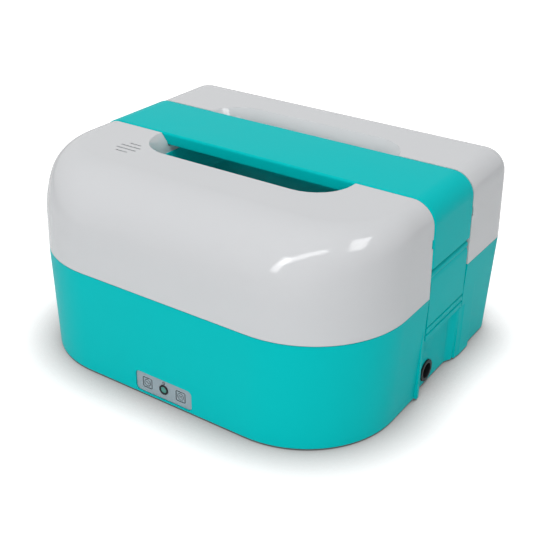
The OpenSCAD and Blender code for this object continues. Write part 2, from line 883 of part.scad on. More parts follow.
module side_container() {
    color(natural)
    difference() {
        union() {
            loft([side_ring(side_z, 1), side_ring(side_z + 1.4, 0), side_ring(side_top, 0)]);
            translate([0, 0, side_top - 1.4]) linear_extrude(1.4)
                polygon(box_plan(side_x1 - 1.2, side_x2 + 1.2, side_y1 - 1.2, side_y2 + 1.2,
                    side_r + 1.2, side_r + 1.2, 7));
        }
        loft([
            side_ring(side_z + food_wall, food_wall + 2), side_ring(side_z + food_wall + 2.4, food_wall),
            side_ring(side_top + over, food_wall)
        ]);
    }
}

side_lid_z = side_top + move_gap;

// Press-on lid with a skirt inside the rim, a raised field and a finger tab
module side_lid() {
    skirt = food_wall + 0.5;
    color(teal)
    difference() {
        union() {
            translate([0, 0, side_lid_z]) linear_extrude(side_lid_t)
                polygon(box_plan(side_x1 - 1.2, side_x2 + 1.2, side_y1 - 1.2, side_y2 + 1.2,
                    side_r + 1.2, side_r + 1.2, 7));
            translate([0, 0, side_top - 3.2]) linear_extrude(side_lid_z - side_top + 3.3) difference() {
                polygon(box_plan(side_x1 + skirt, side_x2 - skirt, side_y1 + skirt, side_y2 - skirt,
                    side_r - skirt, side_r - skirt, 7));
                polygon(box_plan(side_x1 + skirt + 3.6, side_x2 - skirt - 3.6, side_y1 + skirt + 3.6,
                    side_y2 - skirt - 3.6, side_r - skirt - 3.6, side_r - skirt - 3.6, 7));
            }
            // Finger tab at the left edge
            translate([side_x1 - 3, (side_y1 + side_y2) / 2, side_lid_z])
                cylinder(h = side_lid_t, r = 7, $fn = 40);
        }
        // Shallow field pressed into the top
        translate([0, 0, side_lid_z + side_lid_t - 0.5]) linear_extrude(over)
            polygon(box_plan(side_x1 + 9, side_x2 - 9, side_y1 + 9, side_y2 - 9, 7, 7, 7));
        // Groove round the skirt for the seal
        translate([0, 0, side_top - 2.4]) linear_extrude(1.4) difference() {
            polygon(box_plan(side_x1, side_x2, side_y1, side_y2, side_r, side_r, 7));
            polygon(box_plan(side_x1 + skirt + 1.2, side_x2 - skirt - 1.2, side_y1 + skirt + 1.2,
                side_y2 - skirt - 1.2, side_r - skirt - 1.2, side_r - skirt - 1.2, 7));
        }
    }
}

module side_lid_seal() {
    out = food_wall + 0.3;
    back = food_wall + 1.7;
    color(silicone)
    translate([0, 0, side_top - 2.3]) linear_extrude(1.2) difference() {
        polygon(box_plan(side_x1 + out, side_x2 - out, side_y1 + out, side_y2 - out,
            side_r - out, side_r - out, 7));
        polygon(box_plan(side_x1 + back, side_x2 - back, side_y1 + back, side_y2 - back,
            side_r - back, side_r - back, 7));
    }
}

// ---------- lid ----------

function lean(z) = lid_draft * (z - seam_z) / (body_h - seam_z);

// Inset of a shoulder of radius r that ends level at height top
function shoulder(z, r, top) =
    let (k = z - (top - r))
    k <= 0 ? 0 : r - sqrt(max(r * r - k * k, 0));

function lid_ring(z, t, nf, nr) =
    let (top = body_h - t, lean_z = lean(z) + t)
    at_z(plan(
        lean_z + shoulder(z, side_shoulder_r - t, top),
        lean_z + shoulder(z, front_shoulder_r - t, top),
        lean_z + shoulder(z, rear_shoulder_r - t, top),
        nf, nr
    ), z);

// Lid surface, set in by t and starting at z0. Its rings climb by equal
// angles of the front shoulder, whose radius differs from the other three.
module lid_form(t, z0, nf, nr, steps) {
    r = front_shoulder_r - t;
    low = body_h - front_shoulder_r;
    levels = concat([z0], [for (i = [0:steps]) low + r * sin(90 * i / steps)]);
    loft([for (z = levels) lid_ring(z, t, nf, nr)]);
}

// Outline of the lid's side and top in X-Z, set in by d
function arch(d, z0, steps) =
    let (
        r = side_shoulder_r - d,
        cz = body_h - side_shoulder_r,
        cx = hw - (cz - seam_z) * tan(lean_a) - side_shoulder_r / cos(lean_a),
        foot_x = hw - (z0 - seam_z) * tan(lean_a) - d / cos(lean_a),
        right = [for (i = [0:steps]) let (a = lean_a + (90 - lean_a) * i / steps)
            [cx + r * cos(a), cz + r * sin(a)]]
    )
    concat([[foot_x, z0]], right, [for (i = [steps:-1:0]) [-right[i][0], right[i][1]]], [[-foot_x, z0]]);

// All that lies outside the arch set in by d, between y0 and y1
module channel_space(d, y0, y1) {
    difference() {
        slab(-hw - 5, hw + 5, y0, y1, lid_rim_z - 2 * over, body_h + 5);
        along_y(y0 - over, y1 + over) polygon(arch(d, lid_rim_z - 3 * over, 12));
    }
}

// Walls of the finger well: fall from the lip to the floor, mixing a crisp
// edge and a soft one. s runs from 0 at the top to 1 at the floor.
function crisp(s) = 1 - sqrt(max(1 - s * s, 0));
function soft(s) = sqrt(max(2 * s - s * s, 0));
function fall(s, softness) = (1 - softness) * crisp(s) + softness * soft(s);

function well_ring(z, g, n = 8) =
    let (
        s = min(max((body_h - z) / well_depth, 0), 1),
        e = 16 * fall(s, 0.45),
        f = 22 * fall(s, 0.12),
        b = 17 * fall(s, 0.6),
        x = well_len / 2 - e + g
    )
    at_z(box_plan(-x, x, well_y1 + f - g, well_y2 - b + g, well_corner - (e + f) / 3 + g,
        well_corner - (e + b) / 3 + g, n), z);

module well_form(g, z0, steps) {
    loft(concat(
        z0 < well_z ? [at_z([for (p = well_ring(well_z, g)) [p[0], p[1]]], z0)] : [],
        [for (i = [0:steps]) let (s = 1 - pow(i / steps, 1.6)) well_ring(body_h - well_depth * s, g)],
        [at_z([for (p = well_ring(body_h, g)) [p[0], p[1]]], body_h + over)]
    ));
}

flange_t = 2;
flange_w = 7;

module well_screw_places() {
    for (side = [-1, 1]) for (y = [well_y1 + 22 - 3.6, well_y2 - 17 + 3.6])
        translate([side * (well_len / 2 - 36), y, 0]) children();
}

module handle_screw_places() {
    for (side = [-1, 1]) for (sy = [-1, 1])
        translate([side * handle_screw_x, handle_offset + sy * handle_screw_y, 0]) children();
}

notch_z = latch_top + 13.5;
notch_h = 5.5;

module snap_notches() {
    for (y = [ch_y1 - 1.5, ch_y2 - 0.5])
        slab(hw - 5, hw + 2, y, y + 2, notch_z, notch_z + notch_h);
}

module lid_shell() {
    color(lid_grey)
    difference() {
        union() {
            difference() {
                lid_form(0, lid_rim_z, fine_front, fine_rear, 15);
                difference() {
                    lid_form(lid_wall, lid_rim_z - over, plain_front, plain_rear, 9);
                    channel_space(channel_depth + lid_wall, ch_y1 - lid_wall, ch_y2 + lid_wall);
                    well_form(lid_wall, well_z, 6);
                    // Flange round the foot of the well
                    translate([0, 0, well_z]) linear_extrude(flange_t)
                        polygon([for (p = well_ring(well_z, flange_w)) [p[0], p[1]]]);
                }
            }
            intersection() {
                lid_form(lid_wall / 2, liner_top, plain_front, plain_rear, 9);
                lid_screw_places() translate([0, 0, liner_top]) cylinder(h = body_h, r = boss_r, $fn = 32);
            }
        }
        channel_space(channel_depth, ch_y1, ch_y2);
        well_form(0, well_z - over, 9);
        lid_screw_places() translate([0, 0, liner_top - over]) cylinder(h = 10, r = screw_r, $fn = 24);
        well_screw_places() translate([0, 0, well_z - over]) cylinder(h = 6, r = screw_r, $fn = 24);
        handle_screw_places() translate([0, 0, body_h - channel_depth - 4])
            cylinder(h = 6, r = screw_r + 0.2, $fn = 24);
        both_sides() snap_notches();
        // Bores for the hinge pins, in the cheeks of the side channels
        for (side = [-1, 1]) translate([side * pin_x, 0, pin_z])
            rod_y(ch_y1 - lid_wall - over, ch_y2 + lid_wall + over, pin_d / 2, 32);
        // Steam slits, as chords of one circle
        for (k = [0:vent_slits - 1]) {
            dy = (k - (vent_slits - 1) / 2) * vent_pitch;
            half = sqrt(max(vent_r * vent_r - dy * dy, 4));
            slab(vent_x - half, vent_x + half, vent_y + dy - slit_w / 2, vent_y + dy + slit_w / 2,
                body_h - lid_wall - over, body_h + over);
        }
    }
}

dome_top = tray_z - screw_head_h - 1.5;
dome_t = 1.8;

function dome_plan(g) = box_plan(
    -hw + 35.5 - g, hw - 35.5 + g, -hd + 34 - g, hd - 32 + g, 30 + g, 14 + g, 10
);

module lid_liner() {
    color(natural)
    difference() {
        union() {
            translate([0, 0, liner_z]) linear_extrude(liner_t)
                polygon(plan(nest_side, nest_end, nest_end, plain_front, plain_rear));
            loft([at_z(dome_plan(0), liner_z + 1), at_z(dome_plan(-2), dome_top - 3),
                at_z(dome_plan(-5), dome_top)]);
        }
        // Room over the heaped food
        loft([at_z(dome_plan(-dome_t), liner_z - over), at_z(dome_plan(-2 - dome_t), dome_top - 3 - dome_t),
            at_z(dome_plan(-5 - dome_t), dome_top - dome_t)]);
        // Groove for the gasket
        translate([0, 0, liner_z - over]) linear_extrude(over + 1) difference() {
            polygon(plan(nest_side + 0.9, nest_end + 0.9, nest_end + 0.9, plain_front, plain_rear));
            polygon(plan(nest_side + 5.4, nest_end + 5.4, nest_end + 5.4, plain_front, plain_rear));
        }
        lid_screw_places() translate([0, 0, liner_z - over]) cylinder(h = 9, r = screw_r + 0.2, $fn = 24);
        translate([vent_x, vent_y, dome_top - 6]) cylinder(h = 9, r = 3, $fn = 32);
    }
}

module lid_gasket() {
    color(silicone)
    difference() {
        translate([0, 0, gasket_z]) linear_extrude(gasket_drop + 1) difference() {
            polygon(plan(nest_side + 1, nest_end + 1, nest_end + 1, plain_front, plain_rear));
            polygon(plan(nest_side + 5.3, nest_end + 5.3, nest_end + 5.3, plain_front, plain_rear));
        }
        // Slot between its two sealing lips
        translate([0, 0, gasket_z - over]) linear_extrude(over + 1.1) difference() {
            polygon(plan(nest_side + 2.2, nest_end + 2.2, nest_end + 2.2, plain_front, plain_rear));
            polygon(plan(nest_side + 4.1, nest_end + 4.1, nest_end + 4.1, plain_front, plain_rear));
        }
    }
}

// Soft duct that carries steam from the inner cover to the slits
module vent_valve() {
    lid_in = body_h - lid_wall;
    color(silicone)
    translate([vent_x, vent_y, 0])
    rotate_extrude($fn = 48)
        polygon([
            [3, dome_top], [7, dome_top], [7, dome_top + 1.6], [4.6, dome_top + 2.4],
            [4.6, lid_in - 5], [vent_r + 2, lid_in - 1.6], [vent_r + 2, lid_in],
            [vent_r + 0.8, lid_in], [vent_r + 0.8, lid_in - 1.2], [3, lid_in - 4.4]
        ]);
}

module finger_well() {
    edge = 1.2;
    color(teal)
    difference() {
        union() {
            translate([0, 0, tray_z]) linear_extrude(tray_t)
                polygon([for (p = well_ring(well_z, flange_w - edge)) [p[0], p[1]]]);
            // Raised field that fills the foot of the well
            translate([0, 0, well_z - 0.1]) linear_extrude(0.1 + 0.8)
                polygon([for (p = well_ring(well_z, -fit_gap)) [p[0], p[1]]]);
        }
        well_screw_places() translate([0, 0, tray_z - over]) cylinder(h = 9, r = screw_r + 0.2, $fn = 24);
    }
}

module lid_screws() {
    color(steel) {
        lid_screw_places() translate([0, 0, liner_z]) screw_up(liner_t + 7);
        well_screw_places() translate([0, 0, tray_z]) screw_up(tray_t + flange_t - 0.4);
        handle_screw_places() translate([0, 0, body_h - channel_depth - lid_wall]) screw_up(lid_wall + 4);
    }
}

// ---------- handle ----------

// Section of the strap: u runs along Y, and d is the depth below its outer face
function grip_section(half, deep) = concat(
    [[-half, deep]],
    [for (a = [0:22.5:90]) [-half + grip_edge_r * (1 - cos(a)), grip_edge_r * (1 - sin(a))]],
    [for (a = [90:-22.5:0]) [half - grip_edge_r * (1 - cos(a)), grip_edge_r * (1 - sin(a))]],
    [[half, deep]]
);

// Section of the strap's hollow underside, which runs out past its skirts
function hollow_section(half, deep) = [
    [-half + grip_wall, deep], [-half + grip_wall, grip_wall],
    [half - grip_wall, grip_wall], [half - grip_wall, deep]
];

// Stations round the arch: place of the outer face and its outward normal
function grip_path(steps, foot_z) =
    let (
        cz = body_h - side_shoulder_r,
        cx = hw - (cz - seam_z) * tan(lean_a) - side_shoulder_r / cos(lean_a),
        r = side_shoulder_r + grip_proud,
        foot = [hw - (foot_z - seam_z) * tan(lean_a) + grip_proud, foot_z],
        right = concat(
            [[foot, [cos(lean_a), sin(lean_a)]]],
            [for (i = [0:steps]) let (a = lean_a + (90 - lean_a) * i / steps, n = [cos(a), sin(a)])
                [[cx, cz] + r * n, n]]
        ),
        last = len(right) - 1
    )
    concat(right, [for (i = [last:-1:0])
        [[-right[i][0][0], right[i][0][1]], [-right[i][1][0], right[i][1][1]]]]);

// Sweeps a section of the strap round the arch, from arms that end at foot_z
module swept(section, foot_z) {
    loft([
        for (st = grip_path(12, foot_z))
            [for (q = section) [
                st[0][0] - q[1] * st[1][0],
                handle_offset + q[0],
                st[0][1] - q[1] * st[1][1]
            ]]
    ]);
}

module grip_strap() {
    difference() {
        swept(grip_section(handle_w / 2, grip_depth), arm_z);
        swept(hollow_section(handle_w / 2, grip_depth + over), arm_z - 2 * over);
    }
}

module carry_handle() {
    rib_pitch = 17;
    color(teal)
    difference() {
        union() {
            grip_strap();
            // Cross ribs under the strap
            for (k = [-4:4])
                slab(k * rib_pitch - 0.9, k * rib_pitch + 0.9, handle_offset - handle_w / 2 + grip_wall / 2,
                    handle_offset + handle_w / 2 - grip_wall / 2, body_h - grip_depth + 1.2,
                    body_h - grip_wall / 2);
            slab(-handle_screw_x, handle_screw_x, handle_offset - 0.9, handle_offset + 0.9,
                body_h - grip_depth + 1.2, body_h - grip_wall / 2);
            // Feet of the strap, which the screws go into
            handle_screw_places() translate([0, 0, body_h - channel_depth])
                cylinder(h = channel_depth - grip_wall / 2, r = boss_r, $fn = 32);
            // Snap tabs that fill the notches of the channel
            both_sides() for (y = [ch_y1 - 1.2, ch_y2 - 1.2])
                slab(hw - 4.4, hw - 1.6, y, y + 2.4, notch_z + 0.5, notch_z + notch_h - 0.5);
        }
        handle_screw_places() translate([0, 0, body_h - channel_depth - over])
            cylinder(h = 5.6, r = screw_r, $fn = 24);
    }
}

// ---------- latches ----------

module latch_pin() {
    translate([pin_x, 0, pin_z]) rod_y(ch_y1 - lid_wall, ch_y2 + lid_wall, pin_d / 2, 32);
}

module latch_pin_right() {
    color(steel) latch_pin();
}

module latch_pin_left() {
    color(steel) mirror([1, 0, 0]) latch_pin();
}

groove_z = [latch_z + 4.5, latch_z + 9];
groove_d = 0.8;
groove_h = 1.5;

module latch() {
    y1 = handle_offset - latch_w / 2;
    y2 = handle_offset + latch_w / 2;
    back = latch_x - latch_t;
    bevel_z = latch_top - latch_bevel_h;
    grooves = [
        for (g = groove_z) each [
            [latch_x, g - groove_h / 2], [latch_x - groove_d, g - groove_h / 4],
            [latch_x - groove_d, g + groove_h / 4], [latch_x, g + groove_h / 2]
        ]
    ];
    difference() {
        union() {
            // Plate, with its bevelled head and its grip grooves
            along_y(y1, y2) polygon(concat(
                [[back, latch_z], [latch_x - 0.8, latch_z], [latch_x, latch_z + 0.8]],
                grooves,
                [
                    [latch_x, bevel_z], [latch_bevel_x, latch_top], [pin_x - 1.2, latch_top - 0.7],
                    [pin_x - barrel_r, pin_z], [pin_x - 1.2, pin_z - 2.4], [back, pin_z - 4.4]
                ]
            ));
            translate([pin_x, 0, pin_z]) rod_y(y1, y2, barrel_r);
            // Side flanges and middle rib
            for (y = [y1, y2 - 1.8])
                slab(flange_x, back + 0.1, y, y + 1.8, latch_z, bevel_z - 1);
            slab(back - 1, back + 0.1, handle_offset - 0.9, handle_offset + 0.9, catch_z + 8, bevel_z - 1);
            // Hook that snaps under the catch
            along_y(y1 + 1, y2 - 1)
                polygon([
                    [back + 0.1, catch_z - 6], [hook_x, catch_z - 3.4], [hook_x, catch_z - 1.8],
                    [back + 0.1, catch_z - 1.4]
                ]);
        }
        translate([pin_x, 0, pin_z]) rod_y(y1 - over, y2 + over, pin_d / 2 + pin_play, 32);
    }
}

module latch_right() {
    color(teal) latch();
}

module latch_left() {
    color(teal) mirror([1, 0, 0]) latch();
}

base_shell();
bottom_cover();
bottom_screws();
rubber_feet();
heating_tub();
plate_seal();
heating_plate();
ptc_heater();
heater_clamp();
clamp_screws();
thermostat();
thermal_fuse();
heat_shield();
wiring();
inlet_socket();
inlet_pins();
inlet_nut();
control_panel();
lamp_bezel();
lamp_lens();
lamp_board();
food_container();
side_container();
side_lid();
side_lid_seal();
lid_shell();
lid_liner();
lid_gasket();
vent_valve();
finger_well();
lid_screws();
carry_handle();
latch_pin_left();
latch_pin_right();
latch_left();
latch_right();
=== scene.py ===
# %% [markdown]
# # Electric lunch box
# The object is a heated lunch box: a teal base, a glossy pale grey lid, a strap
# handle across the lid and a swing latch at each side. The model of its
# construction comes in as a fixed frame, in metres, with X to the right, Y to
# the back and Z up. This lesson gives every piece its finish, rebuilds the
# pieces that show most with softer edges, and sets up a small product studio.

# %% Load the frame
import json
import math
import bmesh
import bpy
from mathutils import Matrix, Vector


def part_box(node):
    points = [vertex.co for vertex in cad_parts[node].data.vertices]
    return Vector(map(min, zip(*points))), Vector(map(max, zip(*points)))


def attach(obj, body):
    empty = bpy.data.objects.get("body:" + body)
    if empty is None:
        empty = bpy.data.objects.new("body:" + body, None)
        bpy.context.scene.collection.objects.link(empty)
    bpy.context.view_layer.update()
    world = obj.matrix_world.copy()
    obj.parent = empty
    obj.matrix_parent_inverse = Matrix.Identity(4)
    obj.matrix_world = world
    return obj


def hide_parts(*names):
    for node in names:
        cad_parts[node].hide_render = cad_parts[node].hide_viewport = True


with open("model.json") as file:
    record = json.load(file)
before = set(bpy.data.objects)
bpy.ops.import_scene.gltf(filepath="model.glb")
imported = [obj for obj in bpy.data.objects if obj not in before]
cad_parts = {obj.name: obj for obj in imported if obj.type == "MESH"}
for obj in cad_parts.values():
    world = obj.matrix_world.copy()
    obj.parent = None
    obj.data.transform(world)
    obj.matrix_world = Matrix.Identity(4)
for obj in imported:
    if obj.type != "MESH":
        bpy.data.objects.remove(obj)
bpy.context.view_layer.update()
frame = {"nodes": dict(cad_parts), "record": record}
MM = 0.001

# %% [markdown]
# ## Camera
# The view is a three-quarter view from the front right and above. The corners
# and edges of the box fix where such a camera must stand, so its place, its two
# angles and its focal length are values, and the small roll is the tilt of the
# hand-held camera. The matrix is built from its axes, which is easier to
# check than three Euler angles.

# %% Camera
CAMERA_PLACE = Vector((300.2, -439.7, 326.3)) * MM
CAMERA_TURN = math.radians(33.82)
CAMERA_DIP = math.radians(28.0)
CAMERA_ROLL = math.radians(0.78)
FOCAL_PIXELS = 969.4
PICTURE_PIXELS = 540
SENSOR_MM = 36


def add_camera():
    ahead = Vector((
        -math.sin(CAMERA_TURN) * math.cos(CAMERA_DIP),
        math.cos(CAMERA_TURN) * math.cos(CAMERA_DIP),
        -math.sin(CAMERA_DIP),
    ))
    level_right = Vector((math.cos(CAMERA_TURN), math.sin(CAMERA_TURN), 0))
    level_up = level_right.cross(ahead)
    right = math.cos(CAMERA_ROLL) * level_right + math.sin(CAMERA_ROLL) * level_up
    up = right.cross(ahead)
    data = bpy.data.cameras.new("camera")
    data.sensor_width = SENSOR_MM
    data.lens = SENSOR_MM * FOCAL_PIXELS / PICTURE_PIXELS
    data.clip_start = 0.01
    camera = bpy.data.objects.new("camera", data)
    bpy.context.scene.collection.objects.link(camera)
    axes = Matrix((right, up, -ahead)).transposed().to_4x4()
    camera.matrix_world = Matrix.Translation(CAMERA_PLACE) @ axes
    bpy.context.scene.camera = camera
    return camera


camera = add_camera()
print("lens", round(camera.data.lens, 1), "mm")

# %% [markdown]
# ## Studio
# A product photograph on white has a floor without an edge and large soft
# lights. The world is white to the camera and to reflections, and dimmer as a
# light, so that the shadow under the box stays. One broad light hangs above
# and one stands at the front right. Both are kept out of reflections, where
# their edges would draw stripes on the glossy lid, and three small panes do the
# opposite: they give no light on the plastic and show only as highlights.

# %% World
SKY_LIGHT = 0.36
SKY_TINT = (0.97, 0.985, 1.0, 1)


def link(tree, source, target):
    tree.links.new(source, target)


def add_world():
    world = bpy.data.worlds.new("studio")
    bpy.context.scene.world = world
    world.use_nodes = True
    tree = world.node_tree
    tree.nodes.clear()
    out = tree.nodes.new("ShaderNodeOutputWorld")
    rays = tree.nodes.new("ShaderNodeLightPath")
    shown = rays.outputs["Is Camera Ray"]
    for kind in ("Is Glossy Ray", "Is Transmission Ray"):
        either = tree.nodes.new("ShaderNodeMath")
        either.operation = "MAXIMUM"
        link(tree, shown, either.inputs[0])
        link(tree, rays.outputs[kind], either.inputs[1])
        shown = either.outputs[0]
    light = tree.nodes.new("ShaderNodeBackground")
    light.inputs["Color"].default_value = SKY_TINT
    light.inputs["Strength"].default_value = SKY_LIGHT
    white = tree.nodes.new("ShaderNodeBackground")
    white.inputs["Strength"].default_value = 1
    mix = tree.nodes.new("ShaderNodeMixShader")
    link(tree, shown, mix.inputs["Fac"])
    link(tree, light.outputs[0], mix.inputs[1])
    link(tree, white.outputs[0], mix.inputs[2])
    link(tree, mix.outputs[0], out.inputs["Surface"])


add_world()
print("world light", SKY_LIGHT)

# %% [markdown]
# The paper floor runs far out of view. Seen by the camera it glows a little,
# which takes open paper to pure white. Where the box stands close over it, an
# occlusion ramp darkens the paper's colour and its glow: a painted shadow that
# deepens the lit contact shadow, as the pressed shadow of a heavy object looks.
# From below the paper is clear, so that the underside can be looked at.

# %% Paper


def grey(value):
    return value, value, value, 1


PAPER = grey(0.93)
PAPER_SEEN = grey(0.45)
FLOOR_GLOW = 0.95
# Painted shadow on the paper: how far it reaches, its darkest tone, and the ramp between
SHADOW_REACH = 0.04
SHADOW_TONE = grey(0.08)
SHADOW_FROM, SHADOW_TO = 0.3, 0.98
SHADOW_SAMPLES = 16


def paper_material():
    material = bpy.data.materials.new("floor")
    material.use_nodes = True
    tree = material.node_tree
    tree.nodes.clear()
    out = tree.nodes.new("ShaderNodeOutputMaterial")
    near = tree.nodes.new("ShaderNodeAmbientOcclusion")
    near.samples = SHADOW_SAMPLES
    near.inputs["Distance"].default_value = SHADOW_REACH
    # Painted shadow: the occlusion value picks a darker paper colour close under the box
    depth = tree.nodes.new("ShaderNodeValToRGB")
    low, high = depth.color_ramp.elements
    low.position, low.color = SHADOW_FROM, SHADOW_TONE
    high.position, high.color = SHADOW_TO, PAPER
    link(tree, near.outputs["AO"], depth.inputs["Fac"])
    rays = tree.nodes.new("ShaderNodeLightPath")
    seen = tree.nodes.new("ShaderNodeMixRGB")
    seen.blend_type = "MULTIPLY"
    seen.inputs["Fac"].default_value = 1
    seen.inputs["Color2"].default_value = PAPER_SEEN
    link(tree, depth.outputs["Color"], seen.inputs["Color1"])
    tone = tree.nodes.new("ShaderNodeMixRGB")
    tone.inputs["Color1"].default_value = PAPER
    link(tree, rays.outputs["Is Camera Ray"], tone.inputs["Fac"])
    link(tree, seen.outputs["Color"], tone.inputs["Color2"])
    paper = tree.nodes.new("ShaderNodeBsdfDiffuse")
    link(tree, tone.outputs["Color"], paper.inputs["Color"])
    # The camera glow takes the same painted shadow colour
    glow = tree.nodes.new("ShaderNodeEmission")
    link(tree, depth.outputs["Color"], glow.inputs["Color"])
    strength = tree.nodes.new("ShaderNodeMath")
    strength.operation = "MULTIPLY"
    strength.inputs[1].default_value = FLOOR_GLOW
    link(tree, rays.outputs["Is Camera Ray"], strength.inputs[0])
    link(tree, strength.outputs[0], glow.inputs["Strength"])
    both = tree.nodes.new("ShaderNodeAddShader")
    link(tree, paper.outputs[0], both.inputs[0])
    link(tree, glow.outputs[0], both.inputs[1])
    facing = tree.nodes.new("ShaderNodeNewGeometry")
    clear = tree.nodes.new("ShaderNodeBsdfTransparent")
    sided = tree.nodes.new("ShaderNodeMixShader")
    link(tree, facing.outputs["Backfacing"], sided.inputs["Fac"])
    link(tree, both.outputs[0], sided.inputs[1])
    link(tree, clear.outputs[0], sided.inputs[2])
    link(tree, sided.outputs[0], out.inputs["Surface"])
    return material


paper = paper_material()
print("paper", len(paper.node_tree.nodes), "nodes")

# %% Floor
FLOOR_HALF = 6.0


def add_floor():
    mesh = bpy.data.meshes.new("floor")
    corners = [(x * FLOOR_HALF, y * FLOOR_HALF, 0) for x, y in ((-1, -1), (1, -1), (1, 1), (-1, 1))]
    mesh.from_pydata(corners, [], [(0, 1, 2, 3)])
    mesh.materials.append(paper)
    floor = bpy.data.objects.new("floor", mesh)
    bpy.context.scene.collection.objects.link(floor)


add_floor()
print("floor", FLOOR_HALF * 2, "m wide")

# %% [markdown]
# A softbox is a square light that faces the box. A pane starts at a spot on the
# lid where the object shows a highlight: the line of sight, mirrored there,
# gives the direction in which the pane stands, and its long side follows the
# bright streak. This puts each highlight where it belongs without trial.

# %% Lights
MIDDLE = Vector((0, 0, 0.06))
PANE_DISTANCE = 2.0
# Name, place, size and power
SOFTBOXES = (
    ("top_light", (-0.05, -0.05, 1.3), 1.3, 10.5),
    ("front_light", (0.45, -1.45, 0.55), 0.9, 8.6),
)
# Name, mirroring spot in millimetres, direction to the pane, its long side, width, length and power
PANES = (
    ("corner_pane", (100, -65, 116), (0.446, 0.015, 0.85), (0.338, -0.37, -0.161), 0.5, 1.05, 9),
    ("shoulder_pane", (80, -85, 110), (0.03, -0.596, 0.802), (0.475, 0.49, 0.37), 0.3, 1.5, 8),
    ("scoop_pane", (-50, 53, 117), (-0.1, -0.82, 0.55), (0.1, 0.3, 0.8), 0.25, 0.9, 4.5),
)


def add_area_light(name, place, out, along, width, length, power, shown):
    """Rectangle at place that shines along out, with its long side turned along the third vector."""
    data = bpy.data.lights.new(name, "AREA")
    data.shape = "RECTANGLE"
    data.size = width
    data.size_y = length
    data.energy = power
    lamp = bpy.data.objects.new(name, data)
    back = -Vector(out).normalized()
    side = Vector(along).cross(back).normalized()
    axes = Matrix((side, back.cross(side), back)).transposed().to_4x4()
    lamp.matrix_world = Matrix.Translation(place) @ axes
    lamp.visible_glossy = shown
    lamp.visible_transmission = shown
    lamp.visible_diffuse = not shown
    bpy.context.scene.collection.objects.link(lamp)


def add_softbox(name, place, size, power):
    add_area_light(name, place, MIDDLE - Vector(place), (0, 1, 0.3), size, size, power, shown=False)


def add_pane(name, spot, toward, along, width, length, power):
    """Pane that the glossy lid mirrors at one spot, seen in the direction toward."""
    spot = Vector(spot) * MM
    toward = Vector(toward).normalized()
    place = spot + toward * PANE_DISTANCE
    add_area_light(name, place, -toward, along, width, length, power, shown=True)


for values in SOFTBOXES:
    add_softbox(*values)
for values in PANES:
    add_pane(*values)
bpy.context.scene.view_settings.view_transform = "Standard"
print("lights", len(SOFTBOXES), "and panes", len(PANES))

# %% [markdown]
# ## Shared surface effects
# Moulded plastic is never quite even. Its mould leaves a fine grain, its walls
# sink a little between ribs, and hands leave faint marks that change how it
# shines. These effects are shader node groups, so each material can place them
# with its own sizes. They read Object coordinates, because the pieces keep
# their place in their mesh and the pattern then never slides.

# %% Shared surface effects
EDGE_EASE = 0.4 * MM
EDGE_SAMPLES = 6


def new_group(name, inputs, outputs):
    group = bpy.data.node_groups.new(name, "ShaderNodeTree")
    for label, kind, value in inputs:
        socket = group.interface.new_socket(label, in_out="INPUT", socket_type=kind)
        socket.default_value = value
    for label, kind in outputs:
        group.interface.new_socket(label, in_out="OUTPUT", socket_type=kind)
    start = group.nodes.new("NodeGroupInput")
    end = group.nodes.new("NodeGroupOutput")
    return group, start, end


def noise_node(tree, scale_socket, detail):
    noise = tree.nodes.new("ShaderNodeTexNoise")
    noise.inputs["Detail"].default_value = detail
    place = tree.nodes.new("ShaderNodeTexCoord")
    link(tree, place.outputs["Object"], noise.inputs["Vector"])
    link(tree, scale_socket, noise.inputs["Scale"])
    return noise


def spread(tree, value, low, high):
    """Value from 0 to 1 stretched to run from low to high, which are sockets or numbers."""
    node = tree.nodes.new("ShaderNodeMapRange")
    link(tree, value, node.inputs["Value"])
    for label, source in (("To Min", low), ("To Max", high)):
        if isinstance(source, (int, float)):
            node.inputs[label].default_value = source
        else:
            link(tree, source, node.inputs[label])
    return node.outputs["Result"]


def moulded_surface_group():
    """Normal from a fine grain over a broad unevenness, with slightly eased edges."""
    group, start, end = new_group(
        "moulded surface",
        [
            ("Grain Scale", "NodeSocketFloat", 2500.0),
            ("Grain Height", "NodeSocketFloat", 0.00001),
            ("Wave Scale", "NodeSocketFloat", 40.0),
            ("Wave Height", "NodeSocketFloat", 0.00002),
        ],
        [("Normal", "NodeSocketVector")],
    )
    grain = noise_node(group, start.outputs["Grain Scale"], detail=2)
    wave = noise_node(group, start.outputs["Wave Scale"], detail=1)
    eased = group.nodes.new("ShaderNodeBevel")
    eased.samples = EDGE_SAMPLES
    eased.inputs["Radius"].default_value = EDGE_EASE
    broad = group.nodes.new("ShaderNodeBump")
    link(group, start.outputs["Wave Height"], broad.inputs["Distance"])
    link(group, wave.outputs["Fac"], broad.inputs["Height"])
    link(group, eased.outputs["Normal"], broad.inputs["Normal"])
    fine = group.nodes.new("ShaderNodeBump")
    link(group, start.outputs["Grain Height"], fine.inputs["Distance"])
    link(group, grain.outputs["Fac"], fine.inputs["Height"])
    link(group, broad.outputs["Normal"], fine.inputs["Normal"])
    link(group, fine.outputs["Normal"], end.inputs["Normal"])
    return group


